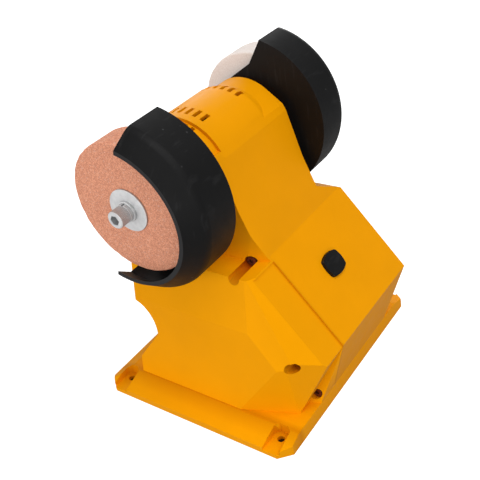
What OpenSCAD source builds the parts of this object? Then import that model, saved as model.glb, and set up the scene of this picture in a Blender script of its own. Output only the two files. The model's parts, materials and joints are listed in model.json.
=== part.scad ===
// Cordless bench grinder with two 75 mm wheels on one motor shaft.
// Millimetres, +Z up. The origin is the centre of the base's underside.
// +X runs along the wheel axis, and the user stands at -Y.

/* [Wheels] */
// Diameter of both grinding wheels
wheel_d = 75; // [66:0.5:78]
// Thickness of a wheel
wheel_t = 19; // [12:0.5:21]
// Bore of a wheel
wheel_bore_d = 10; // [10:0.5:13]
// Chamfer on a wheel's edges
wheel_edge = 0.8; // [0.2:0.1:1.5]
// Height of the wheel axis above the bench
axis_z = 141.7; // [136:0.5:150]
// Place of the wheel axis from front to back
axis_y = -11.7; // [-16:0.5:-6]
// Distance from the middle of the motor to a wheel's inner face
wheel_x = 50; // [49:0.5:56]

/* [Shaft ends] */
// Shaft diameter
shaft_d = 8; // [6.8:0.2:8]
// Diameter of the flange behind a wheel
flange_d = 24; // [18:0.5:26]
// Thickness of the flange behind a wheel
flange_t = 1.8; // [1.2:0.1:2.2]
// Diameter of the clamping washer outside a wheel
clamp_d = 24.4; // [18:0.2:28]
// Thickness of the clamping washer
clamp_t = 1.1; // [0.8:0.1:2]
// Diameter of the small washer under the lock washer
spacer_d = 12; // [10:0.5:14]
// Thickness of the small washer
spacer_t = 1.4; // [0.8:0.1:2]
// Thickness of the lock washer
lock_t = 2; // [1.2:0.1:2.4]
// Diameter of the wheel bolt's thread
bolt_d = 6; // [5:0.5:6]
// Diameter of the wheel bolt's head
bolt_head_d = 9.8; // [8.6:0.2:11]
// Height of the wheel bolt's head
bolt_head_h = 6.6; // [4:0.2:7]
// Width across flats of the hexagon socket
socket_w = 5; // [4:0.5:5]
// Length of thread in the shaft
bolt_grip = 12; // [8:1:16]

/* [Guards] */
// Outer radius of a guard
guard_r = 48.9; // [46:0.1:52]
// Wall of a guard
guard_wall = 2.4; // [1.8:0.1:3]
// Where the guard's drum ends and its cone starts
guard_drum_x = 67.5; // [62:0.5:70]
// Where the guard's front lip ends
guard_front_x = 77.6; // [74:0.2:80]
// Outer radius of the front lip
guard_lip_r = 40.6; // [39:0.2:43]
// Tilt of the open side from upright
guard_tilt = 16.2; // [10:0.2:22]
// How far the open side lies in front of the axis
guard_ahead = 1.5; // [0:0.1:4]
// Radius of the back wall where it reaches round the shaft
lobe_r = 25.6; // [23:0.2:28]

/* [Base] */
// Width of the base
base_w = 154; // [148:1:164]
// Depth of the base
base_d = 135; // [135:1:146]
// Height of the base's rim
rim_h = 4.5; // [4:0.1:6]
// Height of the base where the body stands on it
base_h = 9; // [8:0.1:10]
// Cut at the base's corners
base_corner = 7; // [4:0.5:9]
// Top skin of the base
base_skin = 3; // [2.5:0.1:4]
// Distance between the bench holes along X
bench_hole_x = 131; // [129:1:136]
// Distance between the bench holes along Y
bench_hole_y = 113; // [108:1:114]
// Diameter of a bench hole
bench_hole_d = 4.5; // [3.5:0.1:5]
// Floor height of a corner pocket
pocket_floor = 2.6; // [2:0.1:3.4]
// Width of a corner pocket
pocket_w = 10.5; // [9:0.5:11]

/* [Body] */
// Wall of the two housings
wall = 3; // [2.4:0.1:3.2]
// Where the two housings part
parting_x = 21; // [19:0.5:23]
// Far wall of the body
far_x = -60; // [-62:0.5:-58]
// Near wall of the body at its foot
near_x = 61.5; // [60:0.5:63]
// Inward lean of the lower near wall, in degrees
near_lean = 9.1; // [7:0.1:11]
// Inward lean of the upper near wall, in degrees
near_upper_lean = 18.8; // [16:0.1:21]
// Height of the crease between the two near walls
crease_z = 62.5; // [58:0.5:66]
// Height of the ledge at the near side of the neck
ledge_z = 91; // [88:0.5:93]
// Near wall of the neck
neck_near_x = 27; // [25:0.5:29]
// Far wall of the neck and of the barrel
neck_far_x = -40; // [-41:0.5:-39]
// Height of the far shoulder at the body's wall
shoulder_low_z = 92; // [89:0.5:95]
// Height of the far shoulder at the neck
shoulder_high_z = 103; // [100:0.5:106]
// Back edge of the body's foot
heel_y = 67; // [65:0.5:67]
// Place of the prow, the rearmost edge, from front to back
prow_y = 75.8; // [74:0.1:77]
// Height of the prow
prow_z = 43; // [42:0.1:45]
// Lean of the big sloping face from upright, in degrees
face_lean = 39.4; // [37:0.2:41]
// Lean of the back of the neck from upright, in degrees
neck_lean = 20.7; // [19:0.2:22]
// Height where the back of the neck turns more upright
fold_z = 122; // [118:0.5:126]
// Bearing of the ridge where the neck's back meets the barrel, in degrees
ridge_turn = 18; // [16:0.5:20]
// Angle that the band above the ridge covers on the barrel, in degrees
band_turn = 8; // [6:0.5:10]
// Front edge of the body's foot
toe_y = -57; // [-59:0.5:-56]
// Deepest point of the front waist
waist_y = -31.5; // [-33:0.5:-30]
// Height of the front waist
waist_z = 41; // [40:0.5:43]
// Radius of the scoop under the nose
scoop_r = 20.5; // [19:0.5:22]
// Radius of the nose
nose_r = 9.5; // [9:0.1:10.5]
// How far the near half lies below the big face
face_step = 0.9; // [0.4:0.1:1.2]
// Place on the ledge where the cut at the neck's near corner starts
neck_cut_x = 22.4; // [21.5:0.1:24]

/* [Body corners] */
// Place on the near foot where the rear corner cut starts
rear_cut_y = 27; // [24:0.5:30]
// Turn of the rear corner cut in plan, in degrees
rear_cut_turn = 20.5; // [19:0.1:24]
// Overhang of the rear corner cut, in degrees
rear_cut_over = 6.6; // [4:0.1:8]
// Place on the foot where the second rear cut starts
second_cut_y = 59.8; // [58:0.2:61]
// Turn of the second rear cut in plan, in degrees
second_cut_turn = 41.5; // [39:0.1:44]
// Overhang of the second rear cut, in degrees
second_cut_over = 4.6; // [3:0.1:6]
// Place on the crease where the upper rear facet starts
facet_y = 35.7; // [34:0.1:37]
// Turn of the upper rear facet in plan, in degrees
facet_turn = 12; // [10:0.1:14]
// Lean of the upper rear facet, in degrees
facet_lean = 19.8; // [18:0.1:21]
// Near edge of the strip beside the parting on the big face
strip_x = 40.5; // [39:0.5:42]
// Turn of the facet beside that strip in plan, in degrees
strip_turn = 56.4; // [53:0.1:60]
// Place across of the inner corner of the notch in the near heel
notch_x = 40; // [39:0.1:41]
// Place from front to back of the notch's inner corner
notch_y = 60.2; // [59.5:0.1:61]
// Overhang of the notch's back, in degrees
notch_over = 24.6; // [23.5:0.1:26]
// Turn of the notch's side in plan, in degrees
notch_turn = 26; // [24:0.1:28]
// Lean of the notch's side, in degrees
notch_lean = 17.2; // [15:0.1:19]
// Turn of the far rear corner cut in plan, in degrees
far_cut_turn = 60; // [56:0.5:64]
// Overhang of the far rear corner cut, in degrees
far_cut_over = 24; // [22:0.5:26]
// Cut at the front corners of the foot
front_cut = 8.5; // [5:0.5:10]
// Lean of the front corner cuts, in degrees
front_cut_lean = 8; // [5:0.5:10]

/* [Barrel] */
// Radius of the barrel's ends
barrel_r = 26.3; // [26:0.1:27]
// How far the barrel's middle is raised
drum_rise = 2.9; // [2.4:0.1:3.4]
// Far end of the raised middle
drum_far_x = -20; // [-22:0.5:-18]
// Length of the slope from the raised middle to the far end
drum_slope = 8; // [5:0.5:10]
// How far the barrel's near end is raised
collar_rise = 1; // [0.7:0.1:1.4]
// Near end of the barrel
collar_x = 40; // [39:0.5:41]
// Radius of the seat that a guard stands on
seat_r = 20; // [19:0.5:21]
// Length of the seat that a guard stands on
seat_h = 5; // [4.5:0.1:6]
// Length of a vent slot
vent_l = 7; // [5:0.5:8]
// Width of a vent slot
vent_w = 2.4; // [1.6:0.1:3]
// Angle between neighbouring vent slots
vent_pitch = 10; // [9:0.5:12]

/* [Motor] */
// Room between the motor's steel can and the barrel
can_room = 1.8; // [1.4:0.1:2.2]
// Wall of the can
can_wall = 1.5; // [1.2:0.1:1.6]
// Half length of the can
can_half = 26; // [25.5:0.1:26]
// Length of an end bell
bell_l = 9.6; // [9:0.1:9.8]
// Thickness of the field magnets
magnet_t = 2.1; // [1.8:0.1:2.4]
// Far end of the armature's core
core_far_x = -11; // [-12:0.5:-10]
// Near end of the armature's core
core_near_x = 13; // [12:0.5:14]
// Length of the windings' end turns
end_turn_l = 3.5; // [2.5:0.1:3.5]
// Radius of the copper in a winding slot
copper_r = 2.9; // [2.5:0.1:3]
// Radius of the commutator
commutator_r = 7.5; // [6.8:0.1:8]
// Outer radius of a ball bearing
bearing_r = 11; // [10.6:0.1:11.4]
// Width of a ball bearing
bearing_w = 7; // [6:0.1:7]
// Radius of a bearing ball
ball_r = 1.6; // [1.4:0.05:1.7]
// Middle of the carbon brushes
brush_x = -20; // [-20.5:0.1:-19.5]
// Width of a carbon brush
brush_w = 5; // [4:0.1:5]
// Length of a carbon brush
brush_l = 8; // [6:0.1:8]
// Number of blades on the cooling fan
fan_blades = 9; // [7:1:11]

/* [Power button] */
// Place of the button across the big face
button_x = -13; // [-18:0.5:-8]
// Distance of the button up the face from the prow
button_up = 35.3; // [31:0.1:39]
// Width of the button
button_w = 15.4; // [13:0.2:17]
// Length of the button along the slope
button_l = 13.8; // [12:0.2:16]
// Radius of the button's bowed sides
button_bow = 15; // [12:0.5:20]
// Reach of the button's rounded corners
button_corner = 8.8; // [8.2:0.1:10]
// How far the button stands proud of the face
button_proud = 2; // [1.7:0.1:3]
// Travel of the button
button_travel = 1.6; // [1.2:0.1:1.6]
// Radius of the button's stem
stem_r = 2; // [1.6:0.1:2.4]
// Thickness of the stop flanges on both buttons
stop_t = 1.2; // [1:0.1:1.4]

/* [Battery] */
// Width of the battery pack
pack_w = 74; // [73.6:0.2:76]
// Top of the battery pack
pack_top = 47; // [46:0.2:48]
// Back end of the battery pack
pack_back = 52; // [50:0.5:53]
// Wall of the battery pack
pack_wall = 3.2; // [2.8:0.1:3.2]
// Diameter of a cell
cell_d = 18.3; // [17.5:0.1:18.4]
// Room at each end of the cells
cell_room = 1.3; // [1:0.1:1.6]
// Number of cells
cell_count = 4; // [3:1:4]
// Wall of the cradle that guides the pack
cradle_wall = 2; // [1.6:0.1:2.4]
// Thickness of the pack's lid
lid_t = 2; // [1.6:0.1:2.2]
// Height of the rails that carry the pack
rail_h = 3; // [2.5:0.1:3.5]
// Reach of the rails into the pack
rail_out = 1.3; // [1:0.1:1.5]
// Distance of the rails below the pack's top
rail_down = 9; // [8:0.2:10]
// Width of the release button
release_w = 26; // [22:0.5:30]
// Height of the release button
release_l = 9; // [8:0.2:10]
// How far the release button stands proud
release_proud = 1.4; // [1:0.1:2]
// Distance of the release button up the pack's front
release_up = 24; // [22:0.5:26]
// How far the pack's front lies inside the body's
pack_set_in = 1; // [0.8:0.1:1.2]

/* [Electronics] */
// Width of the control board
board_w = 44; // [40:0.5:46]
// Length of the control board along the slope
board_l = 30; // [28:0.5:32]
// Thickness of both boards
board_t = 1.6; // [1.2:0.1:2]
// Width of the push switch
switch_w = 12; // [11:0.2:13]
// Height of the push switch
switch_h = 7; // [6:0.1:7.5]
// Length of the heat sink
sink_l = 16; // [14:0.5:17]
// Height of the heat sink
sink_h = 9; // [7:0.1:9]
// Radius of the capacitor
capacitor_r = 5; // [4:0.1:5]
// Height of the capacitor
capacitor_h = 11; // [9:0.1:11]
// Thickness of a contact blade
blade_t = 0.8; // [0.6:0.1:1]
// Length of a contact blade
blade_l = 7; // [6:0.1:8]
// Depth of the contact blades in the pack
blade_depth = 5; // [4:0.1:6]
// Height of the terminal block
block_h = 3; // [2.5:0.1:4]
// Radius of a lead
lead_r = 1.1; // [0.8:0.1:1.2]

/* [Screws] */
// Diameter of a housing screw
screw_d = 3.4; // [2.6:0.1:3.6]
// Diameter of a housing screw's head
screw_head_d = 5.6; // [5:0.1:5.8]
// Height of a screw's head
screw_head_h = 2.2; // [1.6:0.1:2.4]
// Diameter of the wells that the housing screws sit in
well_d = 7.3; // [6.8:0.1:8]
// Wall round a well
well_wall = 1.6; // [1.2:0.1:1.8]
// Radius of the bosses that take the screws
boss_r = 5; // [4.8:0.1:5.2]
// Length of thread in the far housing
screw_grip = 13; // [11:0.5:14]
// Height of the columns that take the base screws
column_h = 15; // [12:0.5:16]

/* [Clearances] */
// Room round a seated or sliding piece
slack = 0.3; // [0.2:0.05:0.4]
// Radial room of a close fit
fit = 0.05; // [0.02:0.01:0.1]

/* [Hidden] */

orange = [0.96, 0.62, 0.04];
black = [0.07, 0.07, 0.075];
steel = [0.75, 0.76, 0.78];
copper = [0.72, 0.42, 0.2];

$fn = 64;
// Slots in the armature
poles = 8;
// Larger than the whole object, for cutting blocks
far_out = 400;
// Overshoot that keeps cuts clear of the faces they pass
past = 1;

axis = [axis_y, axis_z];
nose = [waist_y - scoop_r, waist_z + scoop_r + nose_r];

// Straight walls of the side view, each a normal's angle in the Y-Z plane and a distance
heel_angle = -atan((prow_y - heel_y) / (prow_z - base_h));
face_angle = face_lean;
neck_angle = neck_lean;
nose_reach = nose - axis;
nose_bearing = atan2(nose_reach[1], nose_reach[0]) + 360;
front_angle = nose_bearing - acos((barrel_r - nose_r) / norm(nose_reach));
toe_angle = 90 + atan2(waist_z - base_h, waist_y - toe_y);
heel_c = along(heel_angle, [prow_y, prow_z]);
face_c = along(face_angle, [prow_y, prow_z]);
neck_c = along(neck_angle, axis) + barrel_r;
ledge_back_y = (neck_c - ledge_z * sin(neck_angle)) / cos(neck_angle);
toe_c = along(toe_angle, [toe_y, base_h]);

// Straight walls of the front view
near_c = along(near_lean, [near_x, base_h]);
crease_x = near_x - (crease_z - base_h) * tan(near_lean);
upper_c = along(near_upper_lean, [crease_x, crease_z]);
shoulder_angle = 180 - atan2(neck_far_x - far_x, shoulder_high_z - shoulder_low_z);
shoulder_c = along(shoulder_angle, [far_x, shoulder_low_z]);

// Facet whose edge runs up the big face beside the parting
strip_lean = atan(tan(face_lean) * sin(strip_turn));
strip_y = (face_c - face_step - crease_z * sin(face_angle)) / cos(face_angle);

drum_r = barrel_r + drum_rise;
collar_r = barrel_r + collar_rise;
bore_r = barrel_r - wall;
bell_r = bore_r - 2 * fit;
can_r = bore_r - can_room;
armature_r = can_r - can_wall - magnet_t - fit - 2 * slack;
slot_ring = armature_r - 2 * copper_r;
brush_ring = (commutator_r + can_r - can_wall) / 2;
bell_x = can_half + bell_l;
bearing_x = bell_x - bearing_w - 2 * fit;
guard_x = collar_x + seat_h;
lobe_turn = 40;
lobe_corner = [6, 32.4];
clamp_x = wheel_x + wheel_t;
spacer_x = clamp_x + clamp_t;
lock_x = spacer_x + spacer_t;
head_x = lock_x + lock_t;
guard_screw_ring = (flange_d + screw_head_d) / 2 + 2 * slack;

// Housing screws: place in Y and Z, and the height of the head's seat above the parting
screw_spots = [
  [ledge_back_y - 2 * boss_r, ledge_z - slack, wall],
  [prow_y - 14.5, prow_z + wall, 14],
  [nose[0] - 2, nose[1] + 2, 14],
  [nose[0] + nose_r - 2, ledge_z + 13, wall]
];
heel_screw = [heel_y - wall, base_h + boss_r + slack, 12];
all_screws = concat(screw_spots, [heel_screw]);
well_boss_r = well_d / 2 + well_wall;
head_room_d = screw_head_d + 2 * slack;
base_screw_spots = [
  [far_x + 6.5, toe_y + 27],
  [far_x + 6.5, prow_y - 28],
  [near_x - 8.5, toe_y + 27],
  [near_x - 8.5, rear_cut_y - 3]
];

pack_low = base_h + cradle_wall + slack;
cradle_half = pack_w / 2 + slack;
cradle_out = cradle_half + cradle_wall;
cradle_screw_x = cradle_out + boss_r - slack;
cradle_screw_spots = [[-cradle_screw_x, 10], [cradle_screw_x, 10]];
rail_z = pack_top - rail_down;
cell_l = pack_w - 2 * (pack_wall + cell_room);
cell_pitch = cell_d + 2 * fit;
cell_z = pack_low + lid_t + slack + cell_d / 2;
cells_back = pack_back - pack_wall - 7;
strap_t = cell_room - slack * 3;
blade_spots = [-16, -5, 5, 16];
block_front = pack_back - 2 * blade_l;

switch_top = -wall - 8;
stem_end = switch_top - 1.5;
board_top = switch_top - switch_h;
board_shift = -11;
post_r = 2.6;

function turn(a) = [cos(a), sin(a)];
function along(a, p) = turn(a) * p;
function meet(a, c, b, d) = [c * sin(b) - d * sin(a), d * cos(a) - c * cos(b)] / sin(b - a);
function facing(plan, lean) = [cos(lean) * cos(plan), cos(lean) * sin(plan), sin(lean)];
// A point given in the big face's own frame: across, down the slope, out of the face
function on_face(p) = [
  button_x + p[0],
  prow_y - (button_up - p[1]) * sin(face_angle) + p[2] * cos(face_angle),
  prow_z + (button_up - p[1]) * cos(face_angle) + p[2] * sin(face_angle)
];

// Extrudes a Y-Z outline along X
module along_x(from, to) {
  translate([from, 0, 0]) rotate([90, 0, 90]) linear_extrude(to - from) children();
}

// Extrudes an X-Z outline along Y
module along_y(from, to) {
  translate([0, to, 0]) rotate([90, 0, 0]) linear_extrude(to - from) children();
}

// A round bar along X on the wheel axis
module bar(r, from, to) {
  translate([from, axis_y, axis_z]) rotate([0, 90, 0]) cylinder(r = r, h = to - from);
}

// A tube along X on the wheel axis
module tube(r, hole_r, from, to) {
  difference() {
    bar(r, from, to);
    bar(hole_r, from - past, to + past);
  }
}

// Turns an outline of radius and X round the wheel axis
module turned() {
  translate([0, axis_y, axis_z]) rotate([0, 90, 0]) rotate_extrude() children();
}

// A bar along X at any place
module pin(y, z, r, from, to) {
  translate([from, y, z]) rotate([0, 90, 0]) cylinder(r = r, h = to - from);
}

// Everything on the outer side of a plane through a point
module beyond(normal, point, inset = 0) {
  rotate([0, acos(normal[2]), atan2(normal[1], normal[0])])
    translate([-far_out, -far_out, normal * point - inset]) cube(2 * far_out);
}

// Places children on the big face: X across, Y down the slope, Z out of the face
module on_big_face() {
  translate([button_x, prow_y, prow_z]) rotate([face_angle - 90, 0, 0])
    translate([0, -button_up, 0]) children();
}

// Places children on the pack's sloping front: X across, Y up the slope, Z out of it
module on_pack_front() {
  translate([0, toe_y, base_h]) rotate([toe_angle - 90, 0, 0])
    translate([0, release_up, -pack_set_in]) children();
}

// Body as seen from the side, with every wall moved in by inset
module side_view(inset) {
  low = inset > 0 ? base_h - past : base_h;
  difference() {
    union() {
      polygon([
        [toe_y, low],
        meet(-90, -low, heel_angle, heel_c - inset),
        meet(heel_angle, heel_c - inset, face_angle, face_c - inset),
        meet(face_angle, face_c - inset, neck_angle, neck_c - inset),
        [(neck_c - inset - fold_z * sin(neck_angle)) / cos(neck_angle), fold_z],
        axis + (drum_r - inset) / cos(band_turn) * turn(ridge_turn),
        axis + (drum_r - inset) * turn(ridge_turn + band_turn),
        axis + (barrel_r - inset) * turn(front_angle),
        nose + (nose_r - inset) * turn(front_angle),
        nose - [0, nose_r - inset]
      ]);
      translate(axis) circle(barrel_r - inset);
      translate(nose) circle(nose_r - inset);
    }
    front_recess(inset);
  }
}

// What is cut away under the nose and in front of the foot
module front_recess(inset) {
  intersection() {
    translate([nose[0], waist_z]) circle(scoop_r + inset);
    translate([nose[0] - far_out / 2, waist_z]) square(far_out);
  }
  translate([nose[0] - far_out, waist_z]) square([far_out, scoop_r + inset]);
  polygon([
    meet(toe_angle, toe_c - inset, 90, waist_z),
    meet(toe_angle, toe_c - inset, 90, base_h - 2 * past),
    [-far_out, base_h - 2 * past],
    [-far_out, waist_z]
  ]);
}

// Body as seen from the front, with every wall moved in by inset
module front_view(inset) {
  low = inset > 0 ? base_h - past : base_h;
  polygon([
    meet(-90, -low, near_lean, near_c - inset),
    meet(near_lean, near_c - inset, near_upper_lean, upper_c - inset),
    meet(near_upper_lean, upper_c - inset, 90, ledge_z - inset),
    [neck_near_x - inset, ledge_z - inset],
    [neck_near_x - inset, far_out],
    [neck_far_x + inset, far_out],
    meet(180, -neck_far_x - inset, shoulder_angle, shoulder_c - inset),
    meet(shoulder_angle, shoulder_c - inset, 180, -far_x - inset),
    [far_x + inset, low]
  ]);
}

// Flat cuts at the body's corners
module corner_cuts(inset) {
  foot = [near_x, rear_cut_y, base_h];
  corner = [near_x - (second_cut_y - rear_cut_y) * tan(rear_cut_turn), second_cut_y, base_h];
  beyond(facing(rear_cut_turn, -rear_cut_over), foot, inset);
  beyond(facing(second_cut_turn, -second_cut_over), corner, inset);
  beyond(facing(-45, front_cut_lean), [near_x, toe_y + front_cut, base_h], inset);
  beyond(facing(225, front_cut_lean), [far_x, toe_y + front_cut, base_h], inset);
  beyond(facing(180 - far_cut_turn, -far_cut_over), [far_x, prow_y, prow_z], inset);
  intersection() {
    union() {
      beyond(facing(facet_turn, facet_lean), [crease_x, facet_y, crease_z], inset);
      beyond(facing(strip_turn, strip_lean), [strip_x, strip_y, crease_z], inset);
    }
    translate([-far_out / 2, -far_out / 2, ledge_z + past - far_out]) cube(far_out);
  }
  intersection() {
    beyond(facing(rear_cut_turn, -rear_cut_over), [neck_cut_x, ledge_back_y, ledge_z], inset);
    translate([-far_out / 2, -far_out / 2, ledge_z - inset]) cube(far_out);
  }
}

// Notch in the near half's heel, with an overhanging back and a sloping side
module heel_notch(inset) {
  corner = [notch_x, notch_y, base_h];
  intersection() {
    beyond(facing(90, -notch_over), corner, inset);
    beyond(facing(notch_turn, notch_lean), corner, inset);
  }
}

// The whole body without its barrel's raised middle
module trunk(inset) {
  difference() {
    intersection() {
      union() {
        along_x(far_x - past, near_x + past) side_view(inset);
        along_x(far_x - past, drum_far_x) crest_slope(inset);
      }
      along_y(-far_out / 2, far_out / 2) front_view(inset);
    }
    corner_cuts(inset);
  }
}

// Slope from the band above the ridge down to the barrel's far end
module crest_slope(inset) {
  crest = ridge_turn + band_turn;
  polygon([
    axis,
    axis + (drum_r - inset) * turn(crest),
    axis + (barrel_r - inset) * turn(crest + acos((barrel_r - inset) / (drum_r - inset)))
  ]);
}

// Raised middle of the barrel, with a sloping far end
module drum() {
  bar(drum_r, drum_far_x, parting_x);
  translate([drum_far_x - drum_slope, axis_y, axis_z]) rotate([0, 90, 0])
    cylinder(r1 = barrel_r, r2 = drum_r, h = drum_slope);
}

// Rows of slots over the motor
module vents(x, r, count, first) {
  for (i = [0 : count - 1])
    translate([x, axis_y, axis_z]) rotate([i * vent_pitch - first, 0, 0])
      translate([-vent_l / 2, -vent_w / 2, r - 2 * wall]) cube([vent_l, vent_w, 3 * wall]);
}

// Flat slot with round ends, its length along X
module slot(l, w) {
  square([l - w, w], center = true);
  translate([(w - l) / 2, 0]) circle(d = w);
  translate([(l - w) / 2, 0]) circle(d = w);
}

// Hollow inside both housings
module hollow() {
  difference() {
    trunk(wall);
    guard_room(wall);
  }
  bar(bore_r, neck_far_x + wall, collar_x - wall);
  bar(drum_r - wall, drum_far_x + wall, parting_x - wall / 2);
}

// Room under the far guard, grown by extra
module guard_room(extra) {
  bar(guard_r + 4 * slack + extra, -base_w, extra + 5 * slack - guard_x);
}

// Mouth of the battery bay
module bay_mouth() {
  low = base_h - past;
  translate([-cradle_half, -far_out, low]) cube([2 * cradle_half, far_out, pack_top + slack - low]);
}

// Outer form of the far housing
module left_form() {
  difference() {
    trunk(0);
    guard_room(0);
  }
  drum();
  bar(seat_r, neck_far_x - seat_h, neck_far_x + wall);
}

// Outer form of the near housing, a little lower than its neighbour
module right_form() {
  difference() {
    trunk(0);
    step_cut();
    heel_notch(0);
  }
  bar(collar_r, parting_x, collar_x);
  bar(seat_r, collar_x - wall, collar_x + seat_h);
}

// Holes round the shaft for the screws that hold a guard
module guard_screw_holes(r, from, to) {
  for (a = [30, 150, 270])
    translate([from, axis_y, axis_z]) rotate([a, 0, 0])
      translate([0, guard_screw_ring, 0]) rotate([0, 90, 0]) cylinder(r = r, h = to - from);
}

// Columns that take the base screws
module columns(side) {
  for (p = base_screw_spots)
    if (sign(p[0]) == side)
      translate([p[0], p[1], base_h]) cylinder(r = boss_r, h = column_h);
}

module column_holes() {
  for (p = base_screw_spots)
    translate([p[0], p[1], base_h - past])
      cylinder(d = screw_d + 2 * fit, h = column_h + past - wall / 2);
}

// Rib below the motor's end bell, and the webs that carry the two rear screw bosses
module left_ribs() {
  intersection() {
    translate([neck_far_x + 2 * wall, axis_y - 2 * barrel_r, axis_z - barrel_r - 2 * wall])
      cube([wall, 4 * barrel_r, barrel_r]);
    trunk(wall / 2);
  }
  for (p = [screw_spots[0], screw_spots[1]])
    translate([parting_x - screw_grip - wall, p[0], p[1] - wall / 2])
      cube([screw_grip + wall, far_out, wall]);
}

module left_housing() {
  color(orange) difference() {
    union() {
      difference() {
        left_form();
        hollow();
      }
      difference() {
        intersection() {
          union() {
            for (p = all_screws) pin(p[0], p[1], boss_r, parting_x - screw_grip - wall, parting_x);
            left_ribs();
          }
          trunk(wall / 2);
        }
        bar(bore_r, neck_far_x, collar_x);
      }
      difference() {
        columns(-1);
        corner_cuts(wall / 2);
      }
      on_big_face() board_posts();
    }
    translate([parting_x, -far_out / 2, -past]) cube(far_out);
    for (p = all_screws) pin(p[0], p[1], screw_d / 2 + fit, parting_x - screw_grip, parting_x + past);
    column_holes();
    bay_mouth();
    bar(shaft_d / 2 + 4 * slack + wall / 2, neck_far_x - seat_h - past, 0);
    guard_screw_holes(screw_d / 2 + fit, neck_far_x - seat_h - past, neck_far_x + 1);
    vents(-20, drum_r, 7, 25);
    vents(12.5, drum_r, 7, 25);
    on_big_face() translate([0, 0, -wall - past]) linear_extrude(far_out / 8) button_outline(slack);
  }
}

module right_housing() {
  color(orange) difference() {
    union() {
      difference() {
        right_form();
        difference() {
          hollow();
          heel_notch(wall);
        }
      }
      difference() {
        right_bosses();
        heel_notch(wall / 2);
        bar(bore_r, 0, collar_x);
      }
      columns(1);
    }
    translate([parting_x - far_out, -far_out / 2, -past]) cube(far_out);
    for (p = all_screws) pin(p[0], p[1], screw_d / 2 + fit, parting_x - past, parting_x + p[2] + past);
    for (p = screw_spots) pin(p[0], p[1], well_d / 2, parting_x + p[2], 2 * near_x);
    pin(heel_screw[0], heel_screw[1], head_room_d / 2, parting_x + heel_screw[2], notch_x);
    column_holes();
    bay_mouth();
    bar(shaft_d / 2 + 4 * slack + wall / 2, 0, collar_x + seat_h + past);
    guard_screw_holes(screw_d / 2 + fit, collar_x - 1, collar_x + seat_h + past);
    vents(parting_x + vent_l / 2 + wall / 4, collar_r, 7, 25);
  }
}

// Bosses of the near housing round its screw wells
module right_bosses() {
  intersection() {
    for (p = all_screws) pin(p[0], p[1], well_boss_r, parting_x, near_x);
    trunk(wall / 2);
    translate([0, -far_out / 2, base_h]) cube(far_out);
  }
}

// What the near half lies lower than the far half on the big face
module step_cut() {
  bend = meet(face_angle, face_c - face_step, neck_angle, neck_c);
  intersection() {
    beyond([0, cos(face_angle), sin(face_angle)], [0, prow_y, prow_z], face_step);
    translate([-far_out / 2, -far_out / 2, bend[1] - far_out]) cube(far_out);
  }
}

// Base flange with a hipped top, cut corners, corner pockets and a ribbed hollow below
module base_plate() {
  color(orange) difference() {
    intersection() {
      linear_extrude(base_h) base_outline();
      along_x(-base_w, base_w) polygon([
        [-base_d / 2, 0], [base_d / 2, 0], [base_d / 2, rim_h], [heel_y, base_h],
        [toe_y - past, base_h], [-base_d / 2, rim_h]]);
      along_y(-base_d, base_d) polygon([
        [-base_w / 2, 0], [base_w / 2, 0], [base_w / 2, rim_h], [near_x + past, base_h],
        [far_x - past, base_h], [-base_w / 2, rim_h]]);
    }
    for (sx = [-1, 1])
      for (sy = [-1, 1])
        translate([sx * bench_hole_x / 2, sy * bench_hole_y / 2, 0])
          rotate([0, 0, sx < 0 ? 180 : 0]) corner_pocket();
    base_hollow();
    for (p = base_screw_spots) {
      translate([p[0], p[1], -past]) cylinder(d = screw_d + 2 * fit, h = base_h + 2 * past);
      translate([p[0], p[1], -past]) cylinder(d = head_room_d, h = past + screw_head_h + slack);
    }
    for (p = cradle_screw_spots)
      translate([p[0], p[1], base_skin]) cylinder(d = screw_d + 2 * fit, h = base_h);
  }
}

module base_outline() {
  w = base_w / 2;
  d = base_d / 2;
  c = base_corner;
  polygon([
    [c - w, -d], [w - c, -d], [w, c - d], [w, d - c],
    [w - c, d], [c - w, d], [-w, d - c], [-w, c - d]]);
}

// Recess round one bench hole, open to the side
module corner_pocket() {
  deep = 5;
  cut = pocket_w / 4;
  translate([0, 0, pocket_floor]) linear_extrude(base_h) polygon([
    [cut - deep, -pocket_w / 2], [base_w, -pocket_w / 2], [base_w, pocket_w / 2],
    [cut - deep, pocket_w / 2], [-deep, pocket_w / 2 - cut], [-deep, cut - pocket_w / 2]]);
  translate([0, 0, -past]) cylinder(d = bench_hole_d, h = base_h);
}

// Hollow underside in four bays, with bosses left for the screws
module base_hollow() {
  edge = 13;
  rib = 3;
  bay_w = (bench_hole_x - 2 * edge) / 2 - rib / 2;
  bay_d = (bench_hole_y - edge) / 2 - rib / 2;
  difference() {
    for (sx = [-1, 1])
      for (sy = [-1, 1])
        translate([sx * (bay_w + rib) / 2, sy * (bay_d + rib) / 2, (base_h - base_skin) / 2 - past / 2])
          cube([bay_w, bay_d, base_h - base_skin + past], center = true);
    for (p = concat(base_screw_spots, cradle_screw_spots))
      translate([p[0], p[1], -2 * past]) cylinder(r = boss_r, h = base_h);
  }
}

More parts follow.
